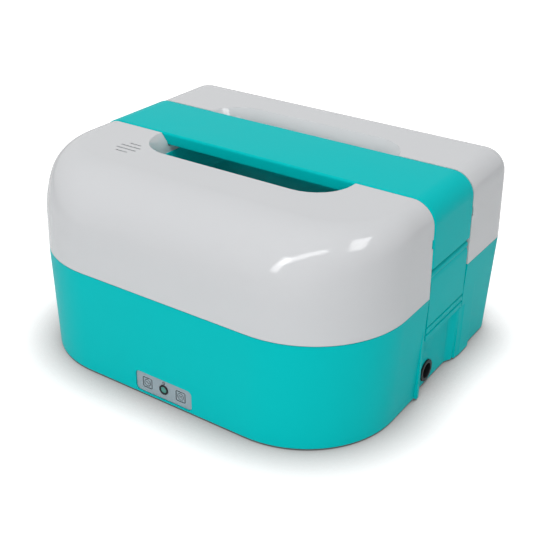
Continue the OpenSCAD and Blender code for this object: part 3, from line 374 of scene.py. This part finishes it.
def handling_group():
    """Colour and roughness that vary a little, as if the piece had been wiped by hand."""
    group, start, end = new_group(
        "handling",
        [
            ("Color", "NodeSocketColor", (0.5, 0.5, 0.5, 1)),
            ("Shade", "NodeSocketFloat", 0.03),
            ("Mark Scale", "NodeSocketFloat", 22.0),
            ("Smooth", "NodeSocketFloat", 0.2),
            ("Dull", "NodeSocketFloat", 0.3),
        ],
        [("Color", "NodeSocketColor"), ("Roughness", "NodeSocketFloat")],
    )
    marks = noise_node(group, start.outputs["Mark Scale"], detail=4)
    darker = group.nodes.new("ShaderNodeHueSaturation")
    link(group, start.outputs["Color"], darker.inputs["Color"])
    low = group.nodes.new("ShaderNodeMath")
    low.operation = "SUBTRACT"
    low.inputs[0].default_value = 1
    link(group, start.outputs["Shade"], low.inputs[1])
    link(group, spread(group, marks.outputs["Fac"], low.outputs[0], 1.0), darker.inputs["Value"])
    link(group, darker.outputs["Color"], end.inputs["Color"])
    rough = spread(group, marks.outputs["Fac"], start.outputs["Smooth"], start.outputs["Dull"])
    link(group, rough, end.inputs["Roughness"])
    return group


SURFACE = moulded_surface_group()
HANDLING = handling_group()
print("effect groups", SURFACE.name, HANDLING.name)

# %% [markdown]
# ## Materials
# Each finish is one Principled shader with the two groups in front of it. A
# value that is the same all over, such as the shine of a clear coat, is set on
# the shader itself.

# %% Materials


def finish(name, color, smooth, dull, shade=0.03, mark_scale=22.0, grain=(2500.0, 0.00001),
           wave=(40.0, 0.00002), **fixed):
    material = bpy.data.materials.new(name)
    material.use_nodes = True
    tree = material.node_tree
    shader = tree.nodes["Principled BSDF"]
    handled = tree.nodes.new("ShaderNodeGroup")
    handled.node_tree = HANDLING
    handled.inputs["Color"].default_value = (*color, 1)
    handled.inputs["Shade"].default_value = shade
    handled.inputs["Mark Scale"].default_value = mark_scale
    handled.inputs["Smooth"].default_value = smooth
    handled.inputs["Dull"].default_value = dull
    moulded = tree.nodes.new("ShaderNodeGroup")
    moulded.node_tree = SURFACE
    moulded.inputs["Grain Scale"].default_value = grain[0]
    moulded.inputs["Grain Height"].default_value = grain[1]
    moulded.inputs["Wave Scale"].default_value = wave[0]
    moulded.inputs["Wave Height"].default_value = wave[1]
    link(tree, handled.outputs["Color"], shader.inputs["Base Color"])
    link(tree, handled.outputs["Roughness"], shader.inputs["Roughness"])
    link(tree, moulded.outputs["Normal"], shader.inputs["Normal"])
    for label, value in fixed.items():
        shader.inputs[label.replace("_", " ")].default_value = value
    return material


FINISHES = {
    "teal_plastic": finish("teal plastic", (0.0, 0.52, 0.525), 0.3, 0.42, Specular_IOR_Level=0.04),
    "lid_plastic": finish("lid plastic", (0.615, 0.622, 0.635), 0.06, 0.11, shade=0.015),
    "tub_plastic": finish("tub plastic", (0.80, 0.81, 0.80), 0.3, 0.42),
    "natural_plastic": finish("natural plastic", (0.78, 0.8, 0.78), 0.28, 0.4, Subsurface_Weight=0.2,
                              Subsurface_Scale=0.003),
    "panel_plastic": finish("panel plastic", (0.32, 0.38, 0.42), 0.4, 0.5, grain=(4000.0, 0.00003)),
    "black_plastic": finish("black plastic", (0.012, 0.012, 0.014), 0.35, 0.5, Specular_IOR_Level=0.25),
    "lamp_lens": finish("lamp lens", (0.05, 0.27, 0.22), 0.08, 0.14, Coat_Weight=0.5),
    "board": finish("board", (0.03, 0.2, 0.08), 0.3, 0.4),
    "wire_cover": finish("wire cover", (0.6, 0.05, 0.04), 0.4, 0.5),
    "fuse_sleeve": finish("fuse sleeve", (0.8, 0.8, 0.74), 0.6, 0.7),
    "silicone": finish("silicone", (0.72, 0.74, 0.73), 0.45, 0.55),
    "foot_rubber": finish("foot rubber", (0.02, 0.02, 0.02), 0.55, 0.7),
    "bare_metal": finish("bare metal", (0.72, 0.73, 0.74), 0.3, 0.42, Metallic=1.0),
    "steel": finish("steel", (0.6, 0.6, 0.62), 0.25, 0.35, Metallic=1.0),
}

for part in frame["record"]["subparts"]:
    node = frame["nodes"][part["node"]]
    for holder in node.material_slots:
        holder.material = FINISHES[part["material_slot"]]
print("finishes", len(FINISHES))

# %% [markdown]
# ## Smooth shells
# The shells arrive as loose triangles with flat faces. A copy of each is
# welded, its curved faces are shaded smooth, and edges that turn sharply stay
# crisp. Weighted normals keep the large flats flat right up to a rounding.

# %% Smooth shells
BODY_OF = {name: body for body, names in frame["record"]["behaviour"]["bodies"].items() for name in names}
SLOT_OF = {part["node"]: part["material_slot"] for part in frame["record"]["subparts"]}
SHELLS = ("lid_shell", "base_shell", "latch_left", "latch_right", "control_panel", "inlet_socket",
          "food_container", "side_container", "lid_liner", "heating_tub", "side_lid", "bottom_cover",
          "lamp_bezel", "lamp_lens")
WELD = 0.002 * MM
SLIVER = 0.001 * MM
SHELL_CREASE = 28


def add_piece(name, mesh):
    """Object for the mesh, with large flats kept flat by weighted normals."""
    piece = bpy.data.objects.new(name, mesh)
    bpy.context.scene.collection.objects.link(piece)
    weights = piece.modifiers.new("flats", "WEIGHTED_NORMAL")
    weights.keep_sharp = True
    return piece


def finished_copy(node):
    source = frame["nodes"][node].data
    shape = bmesh.new()
    shape.from_mesh(source)
    bmesh.ops.remove_doubles(shape, verts=shape.verts, dist=WELD)
    bmesh.ops.dissolve_degenerate(shape, edges=shape.edges, dist=SLIVER)
    crease = math.radians(SHELL_CREASE)
    verts = [v.co.copy() for v in shape.verts]
    faces = [[v.index for v in f.verts] for f in shape.faces]
    sharp = {tuple(sorted((e.verts[0].index, e.verts[1].index))) for e in shape.edges
             if len(e.link_faces) != 2 or e.calc_face_angle(0) > crease}
    shape.free()
    mesh = bpy.data.meshes.new(f"{node}_finished")
    mesh.from_pydata(verts, [], faces)
    mesh.polygons.foreach_set("use_smooth", [True] * len(mesh.polygons))
    for edge in mesh.edges:
        edge.use_edge_sharp = tuple(sorted(edge.vertices)) in sharp
    mesh.materials.append(FINISHES[SLOT_OF[node]])
    piece = add_piece(f"{node}_finished", mesh)
    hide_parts(node)
    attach(piece, BODY_OF[node])
    return piece


for node in SHELLS:
    piece = finished_copy(node)
    print(piece.name, len(piece.data.polygons), "faces")

# %% [markdown]
# ## Grown pieces
# What repeats, or follows a path, is grown by Geometry Nodes. Each tree has
# named inputs for its sizes, ends by making its instances real and by setting
# the finish, and is then turned into a plain mesh, so nothing stays live.

# %% Node tree helpers


def new_tree(name, inputs):
    tree = bpy.data.node_groups.new(name, "GeometryNodeTree")
    tree.interface.new_socket("Geometry", in_out="INPUT", socket_type="NodeSocketGeometry")
    for label, value in inputs.items():
        kind = "NodeSocketInt" if isinstance(value, int) else "NodeSocketFloat"
        tree.interface.new_socket(label, in_out="INPUT", socket_type=kind).default_value = value
    tree.interface.new_socket("Finish", in_out="INPUT", socket_type="NodeSocketMaterial")
    tree.interface.new_socket("Geometry", in_out="OUTPUT", socket_type="NodeSocketGeometry")
    return tree, tree.nodes.new("NodeGroupInput"), tree.nodes.new("NodeGroupOutput")


def add_node(tree, kind, settings=None, **sources):
    """Node with its settings, whose named inputs take a socket or a plain value."""
    node = tree.nodes.new(kind)
    for label, value in (settings or {}).items():
        setattr(node, label, value)
    for label, source in sources.items():
        socket = node.inputs[label.replace("_", " ")]
        if isinstance(source, bpy.types.NodeSocket):
            link(tree, source, socket)
        else:
            socket.default_value = source
    return node


def maths(tree, operation, first, second=0.0):
    node = tree.nodes.new("ShaderNodeMath")
    node.operation = operation
    for socket, source in zip(node.inputs, (first, second)):
        if isinstance(source, bpy.types.NodeSocket):
            link(tree, source, socket)
        else:
            socket.default_value = source
    return node.outputs[0]


def vector(tree, **parts):
    return add_node(tree, "ShaderNodeCombineXYZ", **parts).outputs[0]


def box_solid(tree, size):
    return add_node(tree, "GeometryNodeMeshCube", Size=size).outputs[0]


def bodies_on(tree, solid, points, **more):
    """One copy of the solid on every point."""
    return add_node(tree, "GeometryNodeInstanceOnPoints", Points=points, Instance=solid, **more).outputs[0]


def row(tree, count, step, first=(0, 0, 0)):
    return add_node(tree, "GeometryNodeMeshLine", Count=count, Offset=step, Start_Location=first).outputs[0]


def joined(tree, sources):
    node = tree.nodes.new("GeometryNodeJoinGeometry")
    for source in sources:
        link(tree, source, node.inputs[0])
    return node.outputs[0]


def close_tree(tree, start, end, geometry):
    real = add_node(tree, "GeometryNodeRealizeInstances", Geometry=geometry)
    coated = add_node(tree, "GeometryNodeSetMaterial", Geometry=real.outputs[0],
                      Material=start.outputs["Finish"])
    link(tree, coated.outputs[0], end.inputs["Geometry"])


print("tree helpers ready")

# %% Growing a piece
GROWN_CREASE = 35


def outward(mesh):
    """Turn every face outward, whatever way the tree wound it."""
    shape = bmesh.new()
    shape.from_mesh(mesh)
    bmesh.ops.recalc_face_normals(shape, faces=shape.faces)
    shape.to_mesh(mesh)
    shape.free()


def shade_by_angle(mesh, degrees):
    mesh.polygons.foreach_set("use_smooth", [True] * len(mesh.polygons))
    mesh.set_sharp_from_angle(angle=math.radians(degrees))


def grown(name, seed, tree, node, body=None, slot=None, **values):
    """Evaluate the tree on seed and keep the result, for a node or as a piece of its own."""
    body = body or BODY_OF[node]
    slot = slot or SLOT_OF[node]
    carrier = bpy.data.objects.new(f"{name}_seed", seed)
    bpy.context.scene.collection.objects.link(carrier)
    grow = carrier.modifiers.new("grow", "NODES")
    grow.node_group = tree
    wanted = {label.replace("_", " "): value for label, value in values.items()}
    wanted["Finish"] = FINISHES[slot]
    for item in tree.interface.items_tree:
        if item.in_out == "INPUT" and item.name in wanted:
            grow[item.identifier] = wanted.pop(item.name)
    assert not wanted, wanted
    bpy.context.view_layer.update()
    solid = carrier.evaluated_get(bpy.context.evaluated_depsgraph_get())
    mesh = bpy.data.meshes.new_from_object(solid)
    bpy.data.objects.remove(carrier)
    mesh.name = name
    outward(mesh)
    shade_by_angle(mesh, GROWN_CREASE)
    piece = add_piece(name, mesh)
    if node:
        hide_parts(node)
    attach(piece, body)
    print(name, len(mesh.polygons), "faces")
    return piece


def clusters(node, apart):
    """Boxes of the separate small solids of a node, told apart by their place in plan."""
    found = []
    for vertex in frame["nodes"][node].data.vertices:
        at = vertex.co
        for low, high in found:
            if abs((low.x + high.x) / 2 - at.x) < apart and abs((low.y + high.y) / 2 - at.y) < apart:
                for axis in range(3):
                    low[axis] = min(low[axis], at[axis])
                    high[axis] = max(high[axis], at[axis])
                break
        else:
            found.append((at.copy(), at.copy()))
    return found


foot_boxes = clusters("rubber_feet", 12 * MM)
print("feet", len(foot_boxes))

# %% [markdown]
# ### Screws
# The screws are the usual ones for moulded housings: a low head with a cross
# recess and a thread-forming shank. A point stands for each screw and carries
# its length, and the tree sets a head and a shank on every point. The thread
# is a stack of thin cones, which is enough at this size.

# %% Screws
HEAD_HEIGHT = 1.8 * MM
HEAD_TAPER = 0.82
SLOT_LENGTH, SLOT_WIDTH, SLOT_DEPTH = 1.15, 0.24, 1.3
THREAD_ROOT = 0.74
THREAD_TURNS = 10


def screw_head(tree, sizes):
    """Low cone with a cross recess, both in proportion to the head."""
    radius, height = sizes["Head Radius"], sizes["Head Height"]
    head = add_node(tree, "GeometryNodeMeshCone", Vertices=32, Radius_Top=radius,
                    Radius_Bottom=maths(tree, "MULTIPLY", radius, HEAD_TAPER), Depth=height)
    slots = []
    for turn in (0, math.pi / 2):
        bar = box_solid(tree, vector(tree, X=maths(tree, "MULTIPLY", radius, SLOT_LENGTH),
                                     Y=maths(tree, "MULTIPLY", radius, SLOT_WIDTH),
                                     Z=maths(tree, "MULTIPLY", height, SLOT_DEPTH)))
        slots.append(add_node(tree, "GeometryNodeTransform", Geometry=bar, Rotation=(0, 0, turn)).outputs[0])
    cut = add_node(tree, "GeometryNodeMeshBoolean", {"operation": "DIFFERENCE"})
    link(tree, head.outputs[0], cut.inputs["Mesh 1"])
    link(tree, joined(tree, slots), cut.inputs["Mesh 2"])
    return cut.outputs["Mesh"]


def screw_tree():
    tree, start, end = new_tree("screws", {"Head Radius": 2.8 * MM, "Head Height": HEAD_HEIGHT,
                                           "Shank Radius": 1.45 * MM, "Thread Pitch": 1.2 * MM})
    sizes = start.outputs
    heads = bodies_on(tree, screw_head(tree, sizes), sizes["Geometry"])
    length = add_node(tree, "GeometryNodeInputNamedAttribute", Name="length").outputs["Attribute"]
    turns = maths(tree, "DIVIDE", length, sizes["Thread Pitch"])
    ring = add_node(tree, "GeometryNodeMeshCone", Vertices=20,
                    Radius_Top=maths(tree, "MULTIPLY", sizes["Shank Radius"], THREAD_ROOT),
                    Radius_Bottom=sizes["Shank Radius"], Depth=sizes["Thread Pitch"])
    stack = row(tree, THREAD_TURNS, vector(tree, Z=sizes["Thread Pitch"]))
    thread = bodies_on(tree, ring.outputs[0], stack)
    stretch = vector(tree, X=1.0, Y=1.0, Z=maths(tree, "DIVIDE", turns, float(THREAD_TURNS)))
    shanks = bodies_on(tree, thread, sizes["Geometry"], Scale=stretch)
    lifted = add_node(tree, "GeometryNodeTranslateInstances", Instances=shanks,
                      Translation=vector(tree, Z=sizes["Head Height"]))
    close_tree(tree, start, end, joined(tree, (heads, lifted.outputs[0])))
    return tree


def screw_points(node):
    boxes = clusters(node, 5 * MM)
    mesh = bpy.data.meshes.new(f"{node}_points")
    mesh.from_pydata([((low.x + high.x) / 2, (low.y + high.y) / 2, low.z) for low, high in boxes], [], [])
    lengths = mesh.attributes.new("length", "FLOAT", "POINT")
    lengths.data.foreach_set("value", [high.z - low.z - HEAD_HEIGHT for low, high in boxes])
    return mesh


SCREWS = screw_tree()
for node in ("bottom_screws", "lid_screws"):
    grown(f"{node}_finished", screw_points(node), SCREWS, node)

# %% [markdown]
# ### Rubber feet
# A foot is a thin disc with a rounded lower edge, glued into the bottom cover.
# The tree takes a short cylinder with many rings and draws each ring in by a
# quarter of a circle.

# %% Rubber feet


def feet_tree():
    tree, start, end = new_tree("feet", {"Radius": 7 * MM, "Height": 1.8 * MM, "Edge": 0.8 * MM})
    sizes = start.outputs
    disc = add_node(tree, "GeometryNodeMeshCylinder", Vertices=48, Side_Segments=12, Fill_Segments=3,
                    Radius=sizes["Radius"], Depth=sizes["Height"])
    place = add_node(tree, "GeometryNodeInputPosition").outputs[0]
    parts = add_node(tree, "ShaderNodeSeparateXYZ", Vector=place)
    # How far each ring lies below the top of the edge, from 0 to 1, and the quarter circle there
    above = maths(tree, "ADD", parts.outputs["Z"], maths(tree, "MULTIPLY", sizes["Height"], 0.5))
    left = maths(tree, "MAXIMUM", maths(tree, "SUBTRACT", 1.0, maths(tree, "DIVIDE", above, sizes["Edge"])))
    drawn = maths(tree, "SUBTRACT", 1.0, maths(tree, "SQRT", maths(tree, "SUBTRACT", 1.0,
                  maths(tree, "POWER", left, 2.0))))
    factor = maths(tree, "SUBTRACT", 1.0, maths(tree, "MULTIPLY", drawn,
                   maths(tree, "DIVIDE", sizes["Edge"], sizes["Radius"])))
    moved = vector(tree, X=maths(tree, "MULTIPLY", parts.outputs["X"], factor),
                   Y=maths(tree, "MULTIPLY", parts.outputs["Y"], factor), Z=parts.outputs["Z"])
    shaped = add_node(tree, "GeometryNodeSetPosition", Geometry=disc.outputs["Mesh"], Position=moved)
    close_tree(tree, start, end, bodies_on(tree, shaped.outputs[0], sizes["Geometry"]))
    return tree


foot_points = bpy.data.meshes.new("feet_points")
foot_points.from_pydata([(low + high) / 2 for low, high in foot_boxes], [], [])
foot_size = foot_boxes[0][1] - foot_boxes[0][0]
grown("rubber_feet_finished", foot_points, feet_tree(), "rubber_feet",
      Radius=foot_size.x / 2, Height=foot_size.z)

# %% [markdown]
# ### Strap handle
# The strap is one moulding with a rule behind it: a shallow channel section,
# rounded along its two outer edges, is swept up one arm, over the lid and down
# the other arm. A lofted mesh would do as well, but a sweep keeps each size of
# the section as one named input. Cross ribs, screw feet and the four snap tabs
# of the arms are small bodies set on points, and one spine ties the ribs.

# %% Strap section
INNER_EDGE = 0.3 * MM
EDGE_STEPS = 5
CORNER_STEPS = 24


def rounded(tree, curve, radius, steps):
    fillet = tree.nodes.new("GeometryNodeFilletCurve")
    fillet.mode = "POLY"
    link(tree, curve, fillet.inputs["Curve"])
    link(tree, radius, fillet.inputs["Radius"])
    fillet.inputs["Count"].default_value = steps
    return fillet.outputs[0]


def section_curve(tree, sizes):
    """Closed outline of the channel section, with its outer face on the path."""
    half = maths(tree, "MULTIPLY", sizes["Width"], 0.5)
    inner = maths(tree, "SUBTRACT", half, sizes["Wall"])
    outer_low = maths(tree, "MULTIPLY", half, -1.0)
    inner_low = maths(tree, "MULTIPLY", inner, -1.0)
    deep = maths(tree, "MULTIPLY", sizes["Depth"], -1.0)
    under = maths(tree, "MULTIPLY", sizes["Wall"], -1.0)
    # The first two corners are the outer ones, which get the large radius
    corners = ((0.0, half), (0.0, outer_low), (deep, outer_low), (deep, inner_low),
               (under, inner_low), (under, inner), (deep, inner), (deep, half))
    number = add_node(tree, "GeometryNodeInputIndex").outputs[0]
    pick = tree.nodes.new("GeometryNodeIndexSwitch")
    pick.data_type = "VECTOR"
    while len(pick.index_switch_items) < len(corners):
        pick.index_switch_items.new()
    link(tree, number, pick.inputs["Index"])
    for order, (depth, across) in enumerate(corners):
        link(tree, vector(tree, X=depth, Y=across), pick.inputs[order + 1])
    line = add_node(tree, "GeometryNodeMeshLine", Count=len(corners))
    strip = add_node(tree, "GeometryNodeMeshToCurve", Mesh=line.outputs[0])
    shut = add_node(tree, "GeometryNodeSetSplineCyclic", Geometry=strip.outputs[0], Cyclic=True)
    drawn = add_node(tree, "GeometryNodeSetPosition", Geometry=shut.outputs[0], Position=pick.outputs[0])
    outer = add_node(tree, "FunctionNodeCompare", {"data_type": "INT", "operation": "LESS_THAN"})
    link(tree, number, outer.inputs[2])
    outer.inputs[3].default_value = 2
    radius = add_node(tree, "GeometryNodeSwitch", {"input_type": "FLOAT"}, Switch=outer.outputs[0],
                      **{"False": INNER_EDGE, "True": sizes["Edge"]})
    return rounded(tree, drawn.outputs[0], radius.outputs[0], EDGE_STEPS)


# %% Strap tree
RIB_COUNT, RIB_FIRST, RIB_THICK, RIB_DROP = 9, -68 * MM, 1.8 * MM, 4.2 * MM
SPINE_HEIGHT = 4.4 * MM
FOOT_RADIUS, FOOT_HEIGHT, FOOT_DROP = 3.6 * MM, 6.2 * MM, 4.9 * MM
TAB_SIZE = (2.8 * MM, 2.4 * MM, 4.5 * MM)


def strap_tree(middle_y, top, feet_x, feet_y, tab_x, tab_y, tab_z):
    tree, start, end = new_tree("strap", {"Width": 50 * MM, "Depth": 7 * MM, "Wall": 2.4 * MM,
                                          "Edge": 1.6 * MM, "Corner": 13.8 * MM, "Rib Pitch": 17 * MM})
    sizes = start.outputs
    path = add_node(tree, "GeometryNodeMeshToCurve", Mesh=sizes["Geometry"])
    bent = rounded(tree, path.outputs[0], sizes["Corner"], CORNER_STEPS)
    level = add_node(tree, "GeometryNodeSetCurveNormal", {"mode": "Z_UP"}, Curve=bent)
    swept = add_node(tree, "GeometryNodeCurveToMesh", Curve=level.outputs[0],
                     Profile_Curve=section_curve(tree, sizes), Fill_Caps=True)
    stood = add_node(tree, "GeometryNodeTransform", Geometry=swept.outputs[0],
                     Rotation=(math.pi / 2, 0, 0), Translation=(0, middle_y, 0))
    inside = maths(tree, "SUBTRACT", sizes["Width"], sizes["Wall"])
    deep = maths(tree, "SUBTRACT", sizes["Depth"], sizes["Wall"])
    rib = box_solid(tree, vector(tree, X=RIB_THICK, Y=inside, Z=deep))
    rib_z = top - RIB_DROP
    rib_row = row(tree, RIB_COUNT, vector(tree, X=sizes["Rib Pitch"]), (RIB_FIRST, middle_y, rib_z))
    spine = box_solid(tree, (2 * feet_x, RIB_THICK, SPINE_HEIGHT))
    laid = add_node(tree, "GeometryNodeTransform", Geometry=spine, Translation=(0, middle_y, rib_z))
    foot = add_node(tree, "GeometryNodeMeshCylinder", Vertices=40, Radius=FOOT_RADIUS, Depth=FOOT_HEIGHT)
    parts = [stood.outputs[0], bodies_on(tree, rib, rib_row), laid.outputs[0]]
    for side in (-1, 1):
        feet = row(tree, 2, (0, 2 * feet_y, 0), (side * feet_x, middle_y - feet_y, top - FOOT_DROP))
        tabs = row(tree, 2, (0, 2 * tab_y, 0), (side * tab_x, middle_y - tab_y, tab_z))
        parts += [bodies_on(tree, foot.outputs[0], feet), bodies_on(tree, box_solid(tree, TAB_SIZE), tabs)]
    close_tree(tree, start, end, joined(tree, parts))
    return tree


# %% Strap
LEAN = math.radians(1.637)
ARM_END = 0.2 * MM
strap_low, strap_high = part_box("carry_handle")
arm_x, top_z = strap_high.x, strap_high.z
arm_z = strap_low.z + ARM_END
bend_x = arm_x - (top_z - arm_z) * math.tan(LEAN)
strap_path = bpy.data.meshes.new("strap_path")
strap_path.from_pydata([(arm_x, arm_z, 0), (bend_x, top_z, 0), (-bend_x, top_z, 0), (-arm_x, arm_z, 0)],
                       [(0, 1), (1, 2), (2, 3)], [])
STRAP = strap_tree((strap_low.y + strap_high.y) / 2, top_z, feet_x=88.5 * MM, feet_y=12 * MM,
                   tab_x=114.5 * MM, tab_y=25.25 * MM, tab_z=99.25 * MM)
strap = grown("carry_handle_finished", strap_path, STRAP, "carry_handle")
for label, pick, cad in (("low", min, strap_low), ("high", max, strap_high)):
    reached = [round(pick(corner[i] for corner in strap.bound_box) / MM, 2) for i in range(3)]
    print("strap", label, reached, "construction", [round(v / MM, 2) for v in cad])

# %% [markdown]
# ### Printed marks
# The panel is printed with thin dark lines: a rounded square at each side with
# the sign for alternating and for direct current in it, and a small sign for
# power above the lamp. The signs are polylines in millimetres on the panel's
# face. The tree sweeps a thin round bead along them, and the bead is pressed
# flat against the panel, so the ink stands only a hair above it.

# %% Mark outlines
MARK_X, MARK_HALF, MARK_ROUND = 12.0, 3.3, 0.9
SIGN_RING, SIGN_HALF, SIGN_STEP = 2.1, 1.2, 0.45
WAVE_HEIGHT = 0.6
DASH, DASH_STARTS = 0.5, (-1.2, -0.25, 0.7)
POWER_Z, POWER_RING, POWER_BAR = 4.4, 0.8, (0.1, 1.0)


def ring_points(middle, radius, start, stop, count):
    return [(middle[0] + radius * math.cos(start + (stop - start) * k / count),
             middle[1] + radius * math.sin(start + (stop - start) * k / count)) for k in range(count + 1)]


def round_square(middle, half, radius):
    points = []
    for turn, (sx, sz) in enumerate(((1, 1), (-1, 1), (-1, -1), (1, -1))):
        corner = (middle[0] + sx * (half - radius), middle[1] + sz * (half - radius))
        points += ring_points(corner, radius, turn * math.pi / 2, (turn + 1) * math.pi / 2, 6)
    return points + points[:1]


def wave(middle, width, height, steps=16):
    return [(middle[0] + width * (k / steps - 0.5), middle[1] + height * math.sin(2 * math.pi * k / steps))
            for k in range(steps + 1)]


left, right = (-MARK_X, 0.0), (MARK_X, 0.0)
full_turn = 2 * math.pi
MARKS = [round_square(left, MARK_HALF, MARK_ROUND), round_square(right, MARK_HALF, MARK_ROUND),
         ring_points(left, SIGN_RING, 0, full_turn, 28), wave(left, 2 * SIGN_HALF, WAVE_HEIGHT),
         ring_points(right, SIGN_RING, 0, full_turn, 28),
         [(MARK_X - SIGN_HALF, SIGN_STEP), (MARK_X + SIGN_HALF, SIGN_STEP)]]
MARKS += [[(MARK_X + x, -SIGN_STEP), (MARK_X + x + DASH, -SIGN_STEP)] for x in DASH_STARTS]
MARKS += [ring_points((0, POWER_Z), POWER_RING, math.radians(125), math.radians(415), 20),
          [(0, POWER_Z + z) for z in POWER_BAR]]
print("marks", len(MARKS))

# %% Printed marks
INK_LIFT = 0.03 * MM
INK_FLAT = 0.2
LAMP_CLEAR = 6 * MM


def line_tree():
    tree, start, end = new_tree("printed lines", {"Line Radius": 0.17 * MM})
    path = add_node(tree, "GeometryNodeMeshToCurve", Mesh=start.outputs["Geometry"])
    bead = add_node(tree, "GeometryNodeCurvePrimitiveCircle", Resolution=6)
    link(tree, start.outputs["Line Radius"], bead.inputs["Radius"])
    tube = add_node(tree, "GeometryNodeCurveToMesh", Curve=path.outputs[0], Profile_Curve=bead.outputs[0],
                    Fill_Caps=True)
    close_tree(tree, start, end, tube.outputs[0])
    return tree


def panel_face():
    """Place of the panel's front face beside the lamp, and height of its middle."""
    low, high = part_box("control_panel")
    corners = frame["nodes"]["control_panel"].data.vertices
    face = min(v.co.y for v in corners if abs(v.co.x) > LAMP_CLEAR)
    return face, (low.z + high.z) / 2


def mark_mesh(face, middle_z):
    verts, edges = [], []
    for line in MARKS:
        edges += [(len(verts) + k, len(verts) + k + 1) for k in range(len(line) - 1)]
        verts += [(x * MM, face, middle_z + z * MM) for x, z in line]
    mesh = bpy.data.meshes.new("mark_lines")
    mesh.from_pydata(verts, edges, [])
    return mesh


face_y, panel_middle = panel_face()
marks = grown("panel_marks", mark_mesh(face_y, panel_middle), line_tree(), None, body="base",
              slot="black_plastic")
for vertex in marks.data.vertices:
    vertex.co.y = face_y + (vertex.co.y - face_y) * INK_FLAT - INK_LIFT
print("panel face", round(face_y / MM, 2), "middle", round(panel_middle / MM, 2))

# %% [markdown]
# ### Dish of the finger well
# Under the strap the well is lined with a teal dish that reaches more than half
# way up the lid's own wall. Its outline follows a rule: a rounded box whose
# ends, front and rear draw in as they go down, each by its own curve. A stack
# of such outlines is joined into a thin closed wall, and the floor comes from
# the construction model.

# %% Outline of the well
LID_TOP = 122.0
WELL_END, WELL_FRONT, WELL_REAR = 68.0, -37.8, 59.7
WELL_DEEP, WELL_CORNER = 28.5, 24.0
# How far the ends, the front and the rear draw in at the floor, and how softly they start
END_DRAW, FRONT_DRAW, REAR_DRAW = 16, 22, 17
END_SOFT, FRONT_SOFT, REAR_SOFT = 0.45, 0.12, 0.6


def fall(down, softness):
    crisp = 1 - math.sqrt(max(1 - down * down, 0))
    soft = math.sqrt(max(2 * down - down * down, 0))
    return (1 - softness) * crisp + softness * soft


def well_outline(depth, inset):
    """Outline of the well at a depth below the lid's top, drawn in by inset, in millimetres."""
    down = min(depth / WELL_DEEP, 1)
    end = END_DRAW * fall(down, END_SOFT)
    front = FRONT_DRAW * fall(down, FRONT_SOFT)
    rear = REAR_DRAW * fall(down, REAR_SOFT)
    x = WELL_END - end - inset
    y1, y2 = WELL_FRONT + front + inset, WELL_REAR - rear - inset
    radii = (WELL_CORNER - (end + front) / 3 - inset, WELL_CORNER - (end + rear) / 3 - inset)
    corners = ((x, y1, radii[0], -90), (x, y2, radii[1], 0),
               (-x, y2, radii[1], 90), (-x, y1, radii[0], 180))
    points = []
    for cx, cy, r, first in corners:
        middle = (cx - math.copysign(r, cx), cy + (r if cy == y1 else -r))
        points += ring_points(middle, r, math.radians(first), math.radians(first + 90), 10)
    return points


print("well floor", [round(max(p[i] for p in well_outline(WELL_DEEP, 0)), 1) for i in range(2)])

# %% Dish
DISH_RIM = 11.0
DISH_STEPS = 14
DISH_THICK, DISH_GAP = 0.9, 0.25
LIP_RISE = 0.35
DISH_CREASE = 30


def dish_wall(top, thick, gap):
    """Closed wall: outer rings from the floor up, the lip, and inner rings down again."""
    depths = [WELL_DEEP - (WELL_DEEP - DISH_RIM) * k / DISH_STEPS for k in range(DISH_STEPS + 1)]
    outside = [(d, gap) for d in depths]
    inside = [(d, gap + thick) for d in reversed(depths)]
    lip = [(DISH_RIM - LIP_RISE, gap + thick / 2)]
    rings = [[Vector((x * MM, y * MM, top - depth * MM)) for x, y in well_outline(depth, inset)]
             for depth, inset in outside + lip + inside]
    shape = bmesh.new()
    loops = [[shape.verts.new(p) for p in ring] for ring in rings]
    count = len(loops[0])
    for k, loop in enumerate(loops):
        following = loops[(k + 1) % len(loops)]
        for i in range(count):
            n = (i + 1) % count
            shape.faces.new((loop[i], loop[n], following[n], following[i]))
    bmesh.ops.remove_doubles(shape, verts=shape.verts, dist=WELD)
    bmesh.ops.recalc_face_normals(shape, faces=shape.faces)
    mesh = bpy.data.meshes.new("dish_wall")
    shape.to_mesh(mesh)
    shape.free()
    return mesh


def add_dish():
    piece = finished_copy("finger_well")
    shape = bmesh.new()
    shape.from_mesh(piece.data)
    shape.from_mesh(dish_wall(LID_TOP * MM, DISH_THICK, DISH_GAP))
    shape.to_mesh(piece.data)
    shape.free()
    shade_by_angle(piece.data, DISH_CREASE)
    return piece


dish = add_dish()
print("dish", len(dish.data.polygons), "faces")
